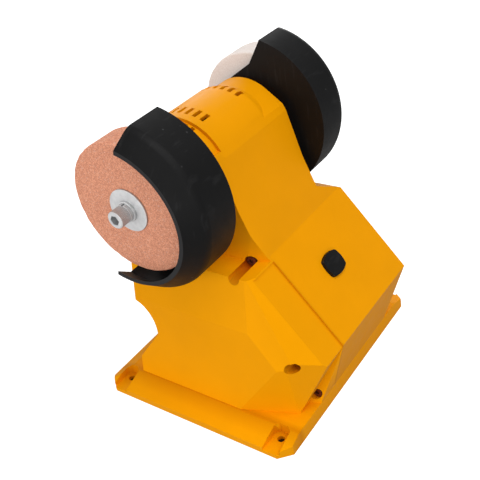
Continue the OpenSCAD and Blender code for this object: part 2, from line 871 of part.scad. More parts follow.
// Cup behind a wheel: a drum with a conical front lip, open to the user
module guard() {
  inner = guard_r - guard_wall;
  lip = guard_lip_r - guard_wall;
  slope = (guard_r - guard_lip_r) / (guard_front_x - guard_drum_x);
  color(black) difference() {
    union() {
      difference() {
        turned() polygon([
          [0, guard_x], [guard_r, guard_x], [guard_r, guard_drum_x], [guard_lip_r, guard_front_x],
          [lip, guard_front_x], [inner, guard_front_x - (inner - lip) / slope],
          [inner, guard_x + guard_wall], [0, guard_x + guard_wall]]);
        translate([0, axis_y, axis_z]) rotate([-guard_tilt, 0, 0])
          translate([0, -far_out - guard_ahead, -far_out / 2]) cube(far_out);
      }
      translate([guard_x, axis_y, axis_z]) rotate([-guard_tilt, 0, 0])
        along_x(0, guard_wall) guard_lobe();
    }
    bar(flange_d / 2 - 2, guard_x - past, guard_x + guard_wall + past);
    guard_screw_holes(screw_d / 2 + fit, guard_x - past, guard_x + guard_wall + past);
  }
}

// Part of the guard's back wall that reaches round the shaft on the user's side
module guard_lobe() {
  circle(lobe_r);
  for (s = [-1, 1])
    polygon([
      [0, 0], [-lobe_r * cos(lobe_turn), s * lobe_r * sin(lobe_turn)],
      [-lobe_corner[0], s * lobe_corner[1]], [-guard_ahead, s * (guard_r - past)],
      [0, s * lobe_corner[1]]]);
}

module right_guard() {
  guard();
}

module left_guard() {
  mirror([1, 0, 0]) guard();
}

// Runs a piece and its mirror image at the two ends of the shaft
module both_ends() {
  children();
  mirror([1, 0, 0]) children();
}

module wheel(tint) {
  r = wheel_d / 2;
  color(tint) turned() polygon([
    [wheel_bore_d / 2, wheel_x], [r - wheel_edge, wheel_x], [r, wheel_x + wheel_edge],
    [r, clamp_x - wheel_edge], [r - wheel_edge, clamp_x], [wheel_bore_d / 2, clamp_x]]);
}

module right_wheel() {
  wheel([0.84, 0.55, 0.44]);
}

module left_wheel() {
  mirror([1, 0, 0]) wheel([0.86, 0.8, 0.74]);
}

module motor_shaft() {
  color(steel) difference() {
    bar(shaft_d / 2, -clamp_x + 2, clamp_x - 2);
    both_ends() bar(bolt_d / 2 + fit, clamp_x - bolt_grip - past, clamp_x);
  }
}

// Flange behind each wheel, the spigot in its bore and the sleeve up to the bearing
module wheel_hubs() {
  color(steel) both_ends() difference() {
    union() {
      bar(flange_d / 2, wheel_x - flange_t, wheel_x);
      bar(wheel_bore_d / 2 - fit, bell_x, clamp_x - slack);
    }
    bar(shaft_d / 2 + fit / 2, bell_x - past, clamp_x);
  }
}

module clamp_washers() {
  color(steel) both_ends() tube(clamp_d / 2, bolt_d / 2 + slack, clamp_x, spacer_x);
}

module spacer_washers() {
  color(steel) both_ends() tube(spacer_d / 2, bolt_d / 2 + slack, spacer_x, lock_x);
}

// Split spring washers
module lock_washers() {
  color(steel) both_ends() difference() {
    tube(bolt_head_d / 2 + slack, bolt_d / 2 + slack, lock_x, head_x);
    translate([lock_x - past, axis_y - lock_t / 4, axis_z]) rotate([0, 0, 12])
      cube([lock_t + 2 * past, lock_t / 2, bolt_head_d]);
  }
}

module wheel_bolts() {
  color(steel) both_ends() difference() {
    union() {
      bar(bolt_d / 2, clamp_x - bolt_grip, head_x);
      bar(bolt_head_d / 2, head_x, head_x + bolt_head_h);
    }
    translate([head_x + bolt_head_h / 2, axis_y, axis_z]) rotate([0, 90, 0])
      cylinder(d = socket_w / cos(30), h = bolt_head_h, $fn = 6);
  }
}

// Steel tube round the motor, with cooling windows at both ends
module motor_can() {
  windows = 6;
  window_l = 6;
  color([0.55, 0.56, 0.58]) difference() {
    tube(can_r, can_r - can_wall, -can_half, can_half);
    both_ends()
      for (i = [0 : windows - 1])
        translate([can_half - 2 * window_l, axis_y, axis_z]) rotate([i * 360 / windows, 0, 0])
          translate([0, -window_l / 2, 0]) cube([window_l, window_l, can_r + past]);
  }
}

// End cap of the motor with the pocket for a bearing
module end_bell() {
  color([0.2, 0.2, 0.22]) difference() {
    bar(bell_r, can_half, bell_x);
    bar(bearing_r + fit, bearing_x - fit, bell_x + past);
    bar(wheel_bore_d / 2 + 1, can_half - past, bell_x);
    for (i = [0 : 5])
      translate([can_half - past, axis_y, axis_z]) rotate([i * 60 + 30, 0, 0])
        translate([0, -3, bearing_r + wall]) cube([bell_l + 2 * past, 6, 5]);
  }
}

module right_end_bell() {
  end_bell();
}

module left_end_bell() {
  mirror([1, 0, 0]) end_bell();
}

// Two curved magnets glued inside the can
module field_magnets() {
  color([0.3, 0.3, 0.32])
    for (s = [0, 180])
      translate([core_far_x - 2, axis_y, axis_z]) rotate([s, 0, 0]) rotate([0, 90, 0]) rotate([0, 0, -65])
        rotate_extrude(angle = 130) translate([armature_r + 2 * slack, 0])
          square([magnet_t, core_near_x - core_far_x + 4]);
}

// Guides for the carbon brushes, fixed to the left end bell
module brush_holders() {
  size = brush_w + 4;
  hole = brush_w + 4 * fit;
  color([0.78, 0.66, 0.35])
    for (s = [-1, 1])
      difference() {
        translate([-can_half, axis_y + s * brush_ring - size / 2, axis_z - size / 2])
          cube([can_half + core_far_x - end_turn_l, size, size]);
        translate([brush_x, axis_y, axis_z]) cube([hole, far_out / 4, hole], center = true);
      }
}

module carbon_brushes() {
  color([0.12, 0.12, 0.13])
    for (s = [-1, 1])
      translate([brush_x, axis_y + s * (commutator_r + fit + slack + brush_l / 2), axis_z])
        cube([brush_w, brush_l, brush_w], center = true);
}

// Outer rings with their shields
module bearing_outer_rings() {
  shield_t = 0.8;
  inner = shaft_d / 2 + 2;
  color(steel) both_ends() difference() {
    bar(bearing_r, bearing_x, bearing_x + bearing_w);
    bar(inner + slack, bearing_x - past, bearing_x + bearing_w + past);
    bar(bearing_r - 1.8, bearing_x + shield_t, bearing_x + bearing_w - shield_t);
  }
}

module bearing_inner_rings() {
  color(steel) both_ends()
    tube(shaft_d / 2 + 2, shaft_d / 2 + fit / 2, bearing_x, bearing_x + bearing_w);
}

module bearing_balls() {
  count = 7;
  middle = (shaft_d / 2 + 2 + bearing_r - 1.8) / 2;
  color(steel) both_ends()
    for (i = [0 : count - 1])
      translate([bearing_x + bearing_w / 2, axis_y, axis_z]) rotate([i * 360 / count, 0, 0])
        translate([0, 0, middle]) sphere(r = min(ball_r, (bearing_r - 3.8 - shaft_d / 2) / 2 - fit));
}

// Laminated core with winding slots
module armature_core() {
  l = core_near_x - core_far_x + 2 * past;
  color([0.5, 0.5, 0.52]) difference() {
    tube(armature_r, shaft_d / 2 + fit / 2, core_far_x, core_near_x);
    for (i = [0 : poles - 1])
      translate([core_far_x - past, axis_y, axis_z]) rotate([i * 360 / poles, 0, 0]) {
        translate([0, -copper_r / 2, slot_ring]) cube([l, copper_r, armature_r]);
        translate([0, 0, slot_ring]) rotate([0, 90, 0]) cylinder(r = copper_r + 2 * fit, h = l);
      }
  }
}

// Copper in the slots and the end turns at both ends of the core
module armature_windings() {
  out = slot_ring + copper_r + 2 * fit;
  color(copper) {
    tube(out, shaft_d / 2 + 2, core_far_x - end_turn_l, core_far_x);
    tube(out, shaft_d / 2 + 2, core_near_x, core_near_x + end_turn_l);
    for (i = [0 : poles - 1])
      translate([core_far_x - past, axis_y, axis_z]) rotate([i * 360 / poles, 0, 0])
        translate([0, 0, slot_ring]) rotate([0, 90, 0])
          cylinder(r = copper_r, h = core_near_x - core_far_x + 2 * past);
  }
}

module commutator() {
  bars = 16;
  from = brush_x - 4;
  to = core_far_x - end_turn_l - fit * 10;
  color(copper) difference() {
    tube(commutator_r, shaft_d / 2 + fit / 2, from, to);
    for (i = [0 : bars - 1])
      translate([from - past, axis_y, axis_z]) rotate([i * 360 / bars, 0, 0])
        translate([0, -slack, commutator_r - 1]) cube([to - from, 2 * slack, 2]);
  }
}

// Radial fan that draws air through the vents
module cooling_fan() {
  hub = 7;
  from = core_near_x + 5;
  to = can_half - 1;
  tip = can_r - can_wall - 2;
  color([0.25, 0.25, 0.28]) difference() {
    union() {
      bar(hub, from, to);
      bar(tip, from, from + 1.2);
      for (i = [0 : fan_blades - 1])
        translate([from + 0.6, axis_y, axis_z]) rotate([i * 360 / fan_blades, 0, 0])
          translate([0, -0.6, hub - 1]) cube([to - from - 1.6, 1.2, tip - hub]);
    }
    bar(shaft_d / 2 + fit / 2, from - past, to + past);
  }
}

// Square with bowed sides, grown by room
module button_outline(room) {
  side = button_bow - button_w / 2;
  end = button_bow - button_l / 2;
  intersection() {
    translate([side, 0]) circle(button_bow + room);
    translate([-side, 0]) circle(button_bow + room);
    translate([0, end]) circle(button_bow + room);
    translate([0, -end]) circle(button_bow + room);
    circle(button_corner + room);
  }
}

// Power button with a stop flange behind the wall and a stem to the switch
module power_button() {
  color(black) on_big_face() {
    translate([0, 0, -wall - slack]) linear_extrude(wall + slack + button_proud) button_outline(0);
    translate([0, 0, -wall - slack - stop_t]) linear_extrude(stop_t) button_outline(stop_t);
    translate([0, 0, stem_end]) cylinder(r = stem_r, h = -stem_end - wall);
  }
}

// Switch on the control board, with a bore for the button's stem
module push_switch() {
  color([0.15, 0.15, 0.16]) on_big_face() difference() {
    translate([-switch_w / 2, -switch_w / 2, board_top]) cube([switch_w, switch_w, switch_h]);
    translate([0, 0, stem_end - button_travel - slack]) cylinder(r = stem_r + slack, h = switch_h);
  }
}

module board_spots() {
  for (sx = [-1, 1])
    for (sy = [-1, 1])
      translate([sx * (board_w / 2 - 4), board_shift + sy * (board_l / 2 - 4), 0]) children();
}

// Posts inside the big face that carry the control board
module board_posts() {
  board_spots() translate([0, 0, board_top]) cylinder(r = post_r, h = -board_top - wall / 2);
}

module control_board() {
  color([0.05, 0.35, 0.2]) on_big_face()
    translate([-board_w / 2, board_shift - board_l / 2, board_top - board_t])
      cube([board_w, board_l, board_t]);
}

// Heat sink, capacitor and lead terminals under the board
module board_parts() {
  color([0.6, 0.6, 0.62]) on_big_face() translate([0, board_shift, board_top - board_t]) {
    for (i = [0 : 3])
      translate([4 * i - 18, sink_l / 4 - sink_l, -sink_h]) cube([board_t, sink_l, sink_h - board_t]);
    translate([-19, sink_l / 4 - sink_l, -board_t]) cube([15.6, sink_l, board_t]);
    translate([8, -6, -capacitor_h]) cylinder(r = capacitor_r, h = capacitor_h);
    translate([capacitor_r + 10, capacitor_r + past, -4]) cube([5, 5, 4]);
  }
}

// Tray that guides the battery pack: floor, side walls with rails, and screw tabs
module battery_cradle() {
  front = toe_y + 6;
  wall_front = waist_y + 2 * wall;
  color([0.16, 0.16, 0.17]) {
    difference() {
      union() {
        translate([-cradle_out, front, base_h]) cube([2 * cradle_out, pack_back - front, cradle_wall]);
        for (p = cradle_screw_spots)
          translate([p[0] - boss_r, p[1] - boss_r, base_h]) cube([2 * boss_r, 2 * boss_r, cradle_wall]);
      }
      for (p = cradle_screw_spots)
        translate([p[0], p[1], 0]) cylinder(d = screw_d + 2 * slack, h = 2 * base_h);
    }
    both_ends() {
      translate([cradle_half, wall_front, base_h])
        cube([cradle_wall, pack_back - wall_front, pack_top + slack - base_h]);
      translate([cradle_half - rail_out, wall_front, rail_z])
        cube([rail_out + fit, pack_back - wall_front, rail_h]);
    }
  }
}

// Bridge over the back of the cradle that holds the contact blades
module terminal_block() {
  color([0.12, 0.12, 0.13]) difference() {
    translate([-cradle_out, block_front, pack_top + slack])
      cube([2 * cradle_out, pack_back - block_front, block_h]);
    for (x = blade_spots)
      translate([x - blade_t / 2 - fit, block_front + 1, 0]) cube([blade_t + 2 * fit, blade_l, far_out]);
  }
}

module contact_blades() {
  color([0.8, 0.68, 0.4])
    for (x = blade_spots)
      translate([x - blade_t / 2, block_front + 1 + fit, pack_top - blade_depth])
        cube([blade_t, blade_l - 2 * fit, blade_depth + block_h + slack]);
}

// Side view of the pack, whose front follows the body's front
module pack_side(inset) {
  polygon([
    meet(toe_angle, toe_c - pack_set_in - inset, 90, pack_low),
    [pack_back - inset, pack_low],
    [pack_back - inset, pack_top - inset],
    [waist_y + pack_set_in + inset, pack_top - inset],
    meet(toe_angle, toe_c - pack_set_in - inset, 180, -waist_y - pack_set_in - inset)
  ]);
}

// Pack's case, open below, with rail grooves and slots for the blades
module battery_case() {
  half = pack_w / 2;
  color([0.14, 0.14, 0.15]) difference() {
    along_x(-half, half) pack_side(0);
    along_x(pack_wall - half, half - pack_wall) pack_side(pack_wall);
    translate([-half - past, -far_out / 2, -past])
      cube([pack_w + 2 * past, far_out, pack_low + lid_t + past]);
    both_ends() translate([half - rail_out - slack, waist_y + wall, rail_z - slack])
      cube([rail_out + past, far_out, rail_h + 2 * slack]);
    for (x = blade_spots)
      translate([x - blade_t / 2 - slack, block_front, pack_top - blade_depth - slack])
        cube([blade_t + 2 * slack, far_out, far_out]);
    on_pack_front() translate([0, 0, -2 * pack_wall])
      linear_extrude(4 * pack_wall) slot(release_w + 2 * slack, release_l + 2 * slack);
  }
}

module battery_lid() {
  half = pack_w / 2;
  color([0.14, 0.14, 0.15]) intersection() {
    along_x(-half, half) pack_side(0);
    translate([-half, -far_out / 2, 0]) cube([pack_w, far_out, pack_low + lid_t]);
  }
}

module battery_cells() {
  color([0.15, 0.4, 0.6])
    for (i = [0 : cell_count - 1])
      pin(cells_back - cell_d / 2 - i * cell_pitch, cell_z, cell_d / 2, -cell_l / 2, cell_l / 2);
}

// Strips that join the cells' ends
module cell_straps() {
  color([0.8, 0.8, 0.78]) both_ends()
    translate([cell_l / 2, cells_back - (cell_count - 0.5) * cell_pitch, cell_z - cell_d / 4])
      cube([strap_t, (cell_count - 1) * cell_pitch, cell_d / 2]);
}

module battery_board() {
  color([0.05, 0.3, 0.2])
    translate([cell_d / 4 - cell_l / 2, cells_back - 3 * cell_pitch, cell_z + cell_d / 2 + fit])
      cube([cell_l - cell_d / 2, 3 * cell_pitch, board_t]);
}

// Thumb pad that frees the pack, with a stop flange inside the case
module release_button() {
  back = -pack_wall - slack;
  color(black) on_pack_front() {
    translate([0, 0, back]) linear_extrude(release_proud - back) slot(release_w, release_l);
    translate([0, 0, back - stop_t]) linear_extrude(stop_t)
      slot(release_w + 2 * stop_t, release_l + 2 * stop_t);
  }
}

// Screw along +Z with its head's seat at the origin
module screw(l) {
  translate([0, 0, -l]) cylinder(d = screw_d, h = l);
  difference() {
    cylinder(d = screw_head_d, h = screw_head_h);
    translate([0, 0, screw_head_h / 2]) cylinder(d = screw_head_d / 2, h = screw_head_h, $fn = 6);
  }
}

module housing_screws() {
  color(steel)
    for (p = all_screws)
      translate([parting_x + p[2], p[0], p[1]]) rotate([0, 90, 0]) screw(p[2] + screw_grip - past);
}

module guard_screws() {
  color(steel) both_ends()
    for (a = [30, 150, 270])
      translate([guard_x + guard_wall, axis_y, axis_z]) rotate([a, 0, 0])
        translate([0, guard_screw_ring, 0]) rotate([0, 90, 0]) screw(guard_wall + seat_h - past);
}

module base_screws() {
  color(steel)
    for (p = base_screw_spots)
      translate([p[0], p[1], screw_head_h + slack]) mirror([0, 0, 1])
        screw(base_h - screw_head_h - slack + column_h - wall);
}

module cradle_screws() {
  color(steel)
    for (p = cradle_screw_spots)
      translate([p[0], p[1], base_h + cradle_wall]) screw(base_h + cradle_wall - base_skin - past);
}

// Insulated wire through a list of points
module lead(points, r) {
  for (i = [0 : len(points) - 2]) {
    step = points[i + 1] - points[i];
    translate(points[i]) rotate([0, acos(step[2] / norm(step)), atan2(step[1], step[0])])
      cylinder(r = r, h = norm(step));
  }
  for (i = [1 : len(points) - 2]) translate(points[i]) sphere(r = 1.2 * r);
}

module battery_leads() {
  top = pack_top + slack + block_h;
  end = on_face([0, board_shift + board_l / 2 - 2, board_top - board_t]);
  color([0.7, 0.1, 0.1])
    for (x = [1, 9])
      translate([button_x + x, end[1], top])
        cylinder(r = lead_r, h = end[2] - lead_r / tan(face_angle) - top);
}

module motor_leads() {
  low = axis_z - bell_r;
  under = board_top - board_t;
  high = board_shift - 9;
  color([0.1, 0.1, 0.1])
    for (s = [0, 1])
      lead([
        on_face([16 * s, high, under]),
        on_face([16 * s, high, under - 4]),
        [-can_half - 2.5, axis_y + 6 * s - 3, low - 10],
        [-can_half - 2.5, axis_y + 6 * s - 3, low]], lead_r);
}

base_plate();
left_housing();
right_housing();
left_guard();
right_guard();
motor_can();
left_end_bell();
right_end_bell();
field_magnets();
brush_holders();
carbon_brushes();
bearing_outer_rings();
bearing_inner_rings();
bearing_balls();
motor_shaft();
wheel_hubs();
armature_core();
armature_windings();
commutator();
cooling_fan();
left_wheel();
right_wheel();
clamp_washers();
spacer_washers();
lock_washers();
wheel_bolts();
power_button();
push_switch();
control_board();
board_parts();
battery_cradle();
terminal_block();
contact_blades();
battery_case();
battery_lid();
battery_cells();
cell_straps();
battery_board();
release_button();
housing_screws();
guard_screws();
base_screws();
cradle_screws();
battery_leads();
motor_leads();
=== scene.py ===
import json
import math

import bmesh
import bpy
from bpy.props import FloatProperty, FloatVectorProperty, IntProperty, PointerProperty
from mathutils import Matrix, Vector, noise


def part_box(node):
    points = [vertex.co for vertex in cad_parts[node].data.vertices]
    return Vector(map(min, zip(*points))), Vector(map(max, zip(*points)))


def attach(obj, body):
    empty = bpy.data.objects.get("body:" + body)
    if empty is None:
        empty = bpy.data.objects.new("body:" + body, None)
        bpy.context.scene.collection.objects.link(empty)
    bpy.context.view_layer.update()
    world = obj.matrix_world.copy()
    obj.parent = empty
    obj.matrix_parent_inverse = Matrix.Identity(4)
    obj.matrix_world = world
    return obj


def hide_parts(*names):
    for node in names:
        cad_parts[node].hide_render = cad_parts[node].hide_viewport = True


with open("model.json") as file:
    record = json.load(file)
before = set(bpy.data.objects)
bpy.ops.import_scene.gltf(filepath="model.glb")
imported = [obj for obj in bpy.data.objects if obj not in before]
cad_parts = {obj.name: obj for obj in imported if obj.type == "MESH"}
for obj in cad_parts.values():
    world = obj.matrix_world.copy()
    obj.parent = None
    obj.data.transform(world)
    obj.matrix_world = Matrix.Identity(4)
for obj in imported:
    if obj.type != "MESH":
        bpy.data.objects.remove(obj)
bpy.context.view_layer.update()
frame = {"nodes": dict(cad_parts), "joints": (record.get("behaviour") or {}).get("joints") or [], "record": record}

bl_info = {
    "name": "Cordless bench grinder",
    "version": (1, 0, 0),
    "blender": (4, 5, 0),
    "location": "3D View > Sidebar > Grinder",
    "description": "Dresses the packed bench grinder with plastics, grit, metal, light and a camera",
    "category": "Object",
}

MM = 0.001
NODES = frame["nodes"]
BODY_OF = {node: body for body, nodes in frame["record"]["behaviour"]["bodies"].items() for node in nodes}
SLOT_OF = {part["node"]: part["material_slot"] for part in frame["record"]["subparts"]}
SPIN = next(joint for joint in frame["joints"] if joint["name"] == "rotor_spin")
AXIS = Vector(SPIN["pos_m"])
ALONG_X = Vector((1.0, 0.0, 0.0))
ONTO_X = Matrix.Rotation(math.pi / 2.0, 4, "Y")
BOTH_ENDS = (1.0, -1.0)
WHITE = (1.0, 1.0, 1.0, 1.0)

# Sockets of a colour mix: its share and two colours, and its result
MIX_INPUTS = (0, 6, 7)
MIX_RESULT = 2

# How the solids are read: lengths in metres, bends in degrees
MERGE = 0.002 * MM
TOUCH = 1e-6
FLAT_BEND = 0.6
GENTLE_BEND = 7.5
SHARP_BEND = 25.0
SHORT_EDGE = 1.6 * MM
LARGE_FLAT = 150.0 * MM * MM
WHOLE_TURN = 360.0

# What is left of red, green and blue where shade is painted on a plastic, and in the pits of the grit
WELL_SHADE_TONE = (0.4, 0.1, 0.1)
SEAM_SHADE_TONE = (0.4, 0.3, 0.3)
FOOT_TONE = (0.55, 0.4, 0.4)
PIT_TONE = (0.75, 0.5, 0.42)
# Share of the painted highlight on rounded edges
EDGE_HIGHLIGHT_SHARE = 0.6
DUST = (0.16, 0.16, 0.165, 1.0)
SPARKLE = (0.9, 0.78, 0.7, 1.0)

# Painted shadow along the parting line: its strength and width, and the heights where it fades out below the neck
SEAM_SHADE = 0.3
SEAM_WIDTH = (0.2 * MM, 1.5 * MM)
SEAM_END = (88.0 * MM, 92.0 * MM)

# Shade beside the body's near foot: its strength, and where along X it comes in and goes out
FOOT_SHADE = 0.5
FOOT_IN = (57.0 * MM, 61.0 * MM)
FOOT_OUT = (61.0 * MM, 72.0 * MM)

# Housing screws: points of one screw lie this near each other, and its head and well are this large
SCREW_REACH = 7.0 * MM
SCREW_HEAD_T = 2.2 * MM
WELL_R = 4.0 * MM
WELL_SLACK = 0.2 * MM
WELL_BOTTOM = 1.0 * MM
WELL_MOUTH_SHADE = 0.35

# Guards: where along the axis drum and cone meet, and the lip past which faces get the painted edge highlight
RIDGE_SPAN = (60.0 * MM, 75.0 * MM)
RIDGE_STEPS = 6
LIP = 0.5 * MM

# Wheels
WHEEL_BORE_R = 5.0 * MM
WHEEL_ROUND = 0.9 * MM
WHEEL_STEP = 0.9 * MM
WHEEL_STEPS = 240
CHIP_HIGH = 1.6 * MM
CHIP_WIDE = 1.4 * MM

# Washers and bolts
BOLT_HOLE_R = 3.1 * MM
SHANK_R = 3.0 * MM
SHANK_L = 18.0 * MM
SHANK_SUNK = 0.1 * MM
HEAD_RIM = 0.55 * MM
HEAD_CHAMFER = 0.45 * MM
SOCKET_INSET = 1.2 * MM
SOCKET_FLAT = 2.5 * MM
SOCKET_R = 2.6 * MM
SOCKET_DEPTH = 3.2 * MM
HEAD_LONGEST = 8.0 * MM
KNURL_SHARE = 0.045
SPLIT_SWEEP = 350.0

# Stage, in metres: lights with their place, size and power, and the camera fitted to the photo
FLOOR_HALF = 6.0
FLOOR_DROP = 0.05 * MM
# Painted shade on the floor under the base: half size of the patch and its colour
UNDER_HALF = (0.072, 0.062)
UNDER_BASE_SHADE = (0.03, 0.015, 0.005, 1.0)
PAPER_TONES = ((0.44, 0.44, 0.44, 1.0), (0.46, 0.46, 0.46, 1.0))
FLOOR_GLOW = 0.95
WORLD_LIGHT = 0.37
WORLD_SEEN = 1.0
LIGHT_AIM = Vector((0.0, 0.0, 0.08))
LIGHTS = (
    ("key", (1.5, -0.35, 0.36), 1.0, 11.0),
    ("fill", (0.7, 1.05, 0.35), 0.9, 2.8),
    ("far_side", (-1.15, -0.8, 0.5), 1.0, 5.6),
    ("top", (0.05, 0.6, 1.4), 1.2, 12.0))
SENSOR = 36.0
LENS = 56.41
CLIP = (0.02, 30.0)
CAMERA_AT = Vector((289.905, 243.474, 327.191)) * MM
CAMERA_RIGHT = Vector((-0.558, 0.8152, -0.1549)).normalized()
CAMERA_AHEAD = Vector((-0.6411, -0.5421, -0.5433)).normalized()


class GrinderSizes(bpy.types.PropertyGroup):
    """Sizes of the finish that Blender adds to the solids"""

    housing_round: FloatProperty(
        name="Housing edges", description="Rounding of the housings' edges", default=0.7 * MM,
        min=0.0, max=1.2 * MM, unit="LENGTH", precision=5)
    guard_round: FloatProperty(
        name="Guard edges", description="Rounding of the guards' edges", default=0.8 * MM,
        min=0.0, max=1.1 * MM, unit="LENGTH", precision=5)
    guard_ridge: FloatProperty(
        name="Guard ridge", description="Rounding where a guard's drum meets its cone", default=2.6 * MM,
        min=0.0, max=3.0 * MM, unit="LENGTH", precision=5)
    trim_round: FloatProperty(
        name="Trim edges", description="Rounding of buttons, pack and screws", default=0.4 * MM,
        min=0.0, max=0.8 * MM, unit="LENGTH", precision=5)
    chip_depth: FloatProperty(
        name="Wheel chips", description="How deep the grit is broken at a wheel's edges", default=0.35 * MM,
        min=0.0, max=0.8 * MM, unit="LENGTH", precision=5)
    grit_size: FloatProperty(
        name="Grit", description="Size of the grains in the wheels", default=0.52 * MM,
        min=0.2 * MM, max=2.0 * MM, unit="LENGTH", precision=5)
    knurl_count: IntProperty(
        name="Knurl", description="Ridges round a wheel bolt's head", default=36, min=12, max=60)


def colour(label, words, value):
    """A colour property for the panel."""
    return FloatVectorProperty(
        name=label, description=words, default=value, size=3, min=0.0, max=1.0, subtype="COLOR")


class GrinderColours(bpy.types.PropertyGroup):
    """Colours of the visible finishes"""

    housing: colour("Housing", "Moulded orange plastic", (0.905, 0.352, 0.001))
    guard: colour("Guard", "Black moulded plastic", (0.0075, 0.0075, 0.0078))
    pink_grit: colour("Right wheel", "Pink aluminium oxide", (0.71, 0.33, 0.205))
    white_grit: colour("Left wheel", "Off-white aluminium oxide", (0.86, 0.79, 0.74))
    zinc: colour("Zinc", "Plated washers and bolts", (0.93, 0.94, 0.95))


def sizes():
    """The sizes set in the panel."""
    return bpy.context.scene.grinder_sizes


def colours():
    """The colours set in the panel."""
    return bpy.context.scene.grinder_colours


class Graph:
    """Short calls that build a node tree"""

    def __init__(self, tree):
        self.tree = tree

    def put(self, socket, value):
        """Links a socket to an input, or sets the input to a plain value."""
        if isinstance(value, bpy.types.NodeSocket):
            self.tree.links.new(value, socket)
        elif value is not None:
            socket.default_value = value

    def add(self, kind, inputs=None, **settings):
        """A new node with its settings and inputs."""
        node = self.tree.nodes.new(kind)
        for name, value in settings.items():
            setattr(node, name, value)
        for name, value in (inputs or {}).items():
            self.put(node.inputs[name], value)
        return node

    def math(self, operation, a, b=None):
        """One sum on one or two numbers."""
        node = self.add("ShaderNodeMath", operation=operation)
        for socket, value in zip(node.inputs, (a, b)):
            self.put(socket, value)
        return node.outputs[0]

    def mix(self, share, a, b):
        """Colour a turned into colour b by a share."""
        node = self.add("ShaderNodeMix", data_type="RGBA")
        for index, value in zip(MIX_INPUTS, (share, a, b)):
            self.put(node.inputs[index], value)
        return node.outputs[MIX_RESULT]

    def span(self, value, low, high, to_low=0.0, to_high=1.0):
        """A number moved from one range to another, held at the ends."""
        node = self.add("ShaderNodeMapRange", {
            "Value": value, "From Min": low, "From Max": high, "To Min": to_low, "To Max": to_high})
        return node.outputs["Result"]

    def noise(self, place, scale, detail=2.0, rough=0.5):
        """Plain noise round a place."""
        node = self.add("ShaderNodeTexNoise", {
            "Vector": place, "Scale": scale, "Detail": detail, "Roughness": rough})
        return node.outputs["Fac"]

    def place(self):
        """The place on the object, in metres."""
        return self.add("ShaderNodeTexCoord").outputs["Object"]

    def apart(self, place):
        """The X, Y and Z of a place."""
        return self.add("ShaderNodeSeparateXYZ", {"Vector": place}).outputs

    def mark(self, name):
        """A number that the mesh carries."""
        return self.add("ShaderNodeAttribute", attribute_name=name).outputs["Fac"]


def new_group(name, inputs, outputs):
    """An empty shader group with its sockets, as (graph, input node, output node)."""
    tree = bpy.data.node_groups.new(name, "ShaderNodeTree")
    for label, value in inputs:
        socket = tree.interface.new_socket(label, in_out="INPUT", socket_type="NodeSocketFloat")
        socket.default_value = value
    for label in outputs:
        tree.interface.new_socket(label, in_out="OUTPUT", socket_type="NodeSocketFloat")
    return Graph(tree), tree.nodes.new("NodeGroupInput"), tree.nodes.new("NodeGroupOutput")


def moulded_skin():
    """Spark-eroded mould texture, slow tone changes and patches of shine."""
    graph, given, result = new_group("moulded_skin", [("Scale", 2600.0)], ["Grain", "Tone", "Shine"])
    place = graph.place()
    grain = graph.noise(place, given.outputs["Scale"], 2.0, 0.62)
    slow = graph.noise(place, graph.math("MULTIPLY", given.outputs["Scale"], 0.011), 3.0, 0.55)
    patch = graph.noise(place, graph.math("MULTIPLY", given.outputs["Scale"], 0.045), 4.0, 0.6)
    graph.put(result.inputs["Grain"], grain)
    graph.put(result.inputs["Tone"], slow)
    graph.put(result.inputs["Shine"], patch)
    return graph.tree


def dust_specks():
    """Scattered light specks and faint rubbed streaks."""
    graph, given, result = new_group("dust_specks", [("Scale", 220.0), ("Amount", 0.2)], ["Specks", "Rubs"])
    place = graph.place()
    cells = graph.add("ShaderNodeTexVoronoi", {"Vector": place, "Scale": given.outputs["Scale"]})
    chance = graph.add("ShaderNodeSeparateColor", {"Color": cells.outputs["Color"]})
    near = graph.span(cells.outputs["Distance"], 0.05, 0.16, 1.0, 0.0)
    share = graph.math("LESS_THAN", chance.outputs["Red"], given.outputs["Amount"])
    size = graph.math("MULTIPLY", near, chance.outputs["Green"])
    graph.put(result.inputs["Specks"], graph.math("MULTIPLY", size, share))
    drawn = graph.add("ShaderNodeMapping", {
        "Vector": place, "Rotation": (0.4, 0.9, 0.3), "Scale": (60.0, 420.0, 60.0)})
    streak = graph.noise(drawn.outputs["Vector"], 1.0, 3.0, 0.6)
    graph.put(result.inputs["Rubs"], graph.span(streak, 0.58, 0.78))
    return graph.tree


def bonded_grit():
    """Packed abrasive grains with pits between them."""
    graph, given, result = new_group(
        "bonded_grit", [("Scale", 1300.0)], ["Tone", "Height", "Pits", "Sparkle"])
    place = graph.place()
    wobble = graph.add("ShaderNodeTexNoise", {"Vector": place, "Scale": 900.0, "Detail": 2.0})
    shift = graph.add("ShaderNodeVectorMath", operation="MULTIPLY_ADD")
    graph.put(shift.inputs[0], wobble.outputs["Color"])
    shift.inputs[1].default_value = (0.6 * MM, 0.6 * MM, 0.6 * MM)
    graph.put(shift.inputs[2], place)
    grains = graph.add("ShaderNodeTexVoronoi", {
        "Vector": shift.outputs["Vector"], "Scale": given.outputs["Scale"], "Randomness": 1.0})
    pick = graph.add("ShaderNodeSeparateColor", {"Color": grains.outputs["Color"]})
    coarse = graph.noise(place, graph.math("MULTIPLY", given.outputs["Scale"], 0.34), 4.0, 0.7)
    grain_tone = graph.math("MULTIPLY", pick.outputs["Red"], 0.55)
    tone = graph.math("ADD", grain_tone, graph.math("MULTIPLY", coarse, 0.45))
    graph.put(result.inputs["Tone"], tone)
    crown = graph.span(grains.outputs["Distance"], 0.1, 0.75, 1.0, 0.0)
    lift = graph.math("MULTIPLY", pick.outputs["Green"], crown)
    graph.put(result.inputs["Height"], graph.math("ADD", lift, graph.math("MULTIPLY", coarse, 0.6)))
    graph.put(result.inputs["Pits"], graph.span(coarse, 0.3, 0.41, 1.0, 0.0))
    graph.put(result.inputs["Sparkle"], graph.math("GREATER_THAN", pick.outputs["Blue"], 0.955))
    return graph.tree


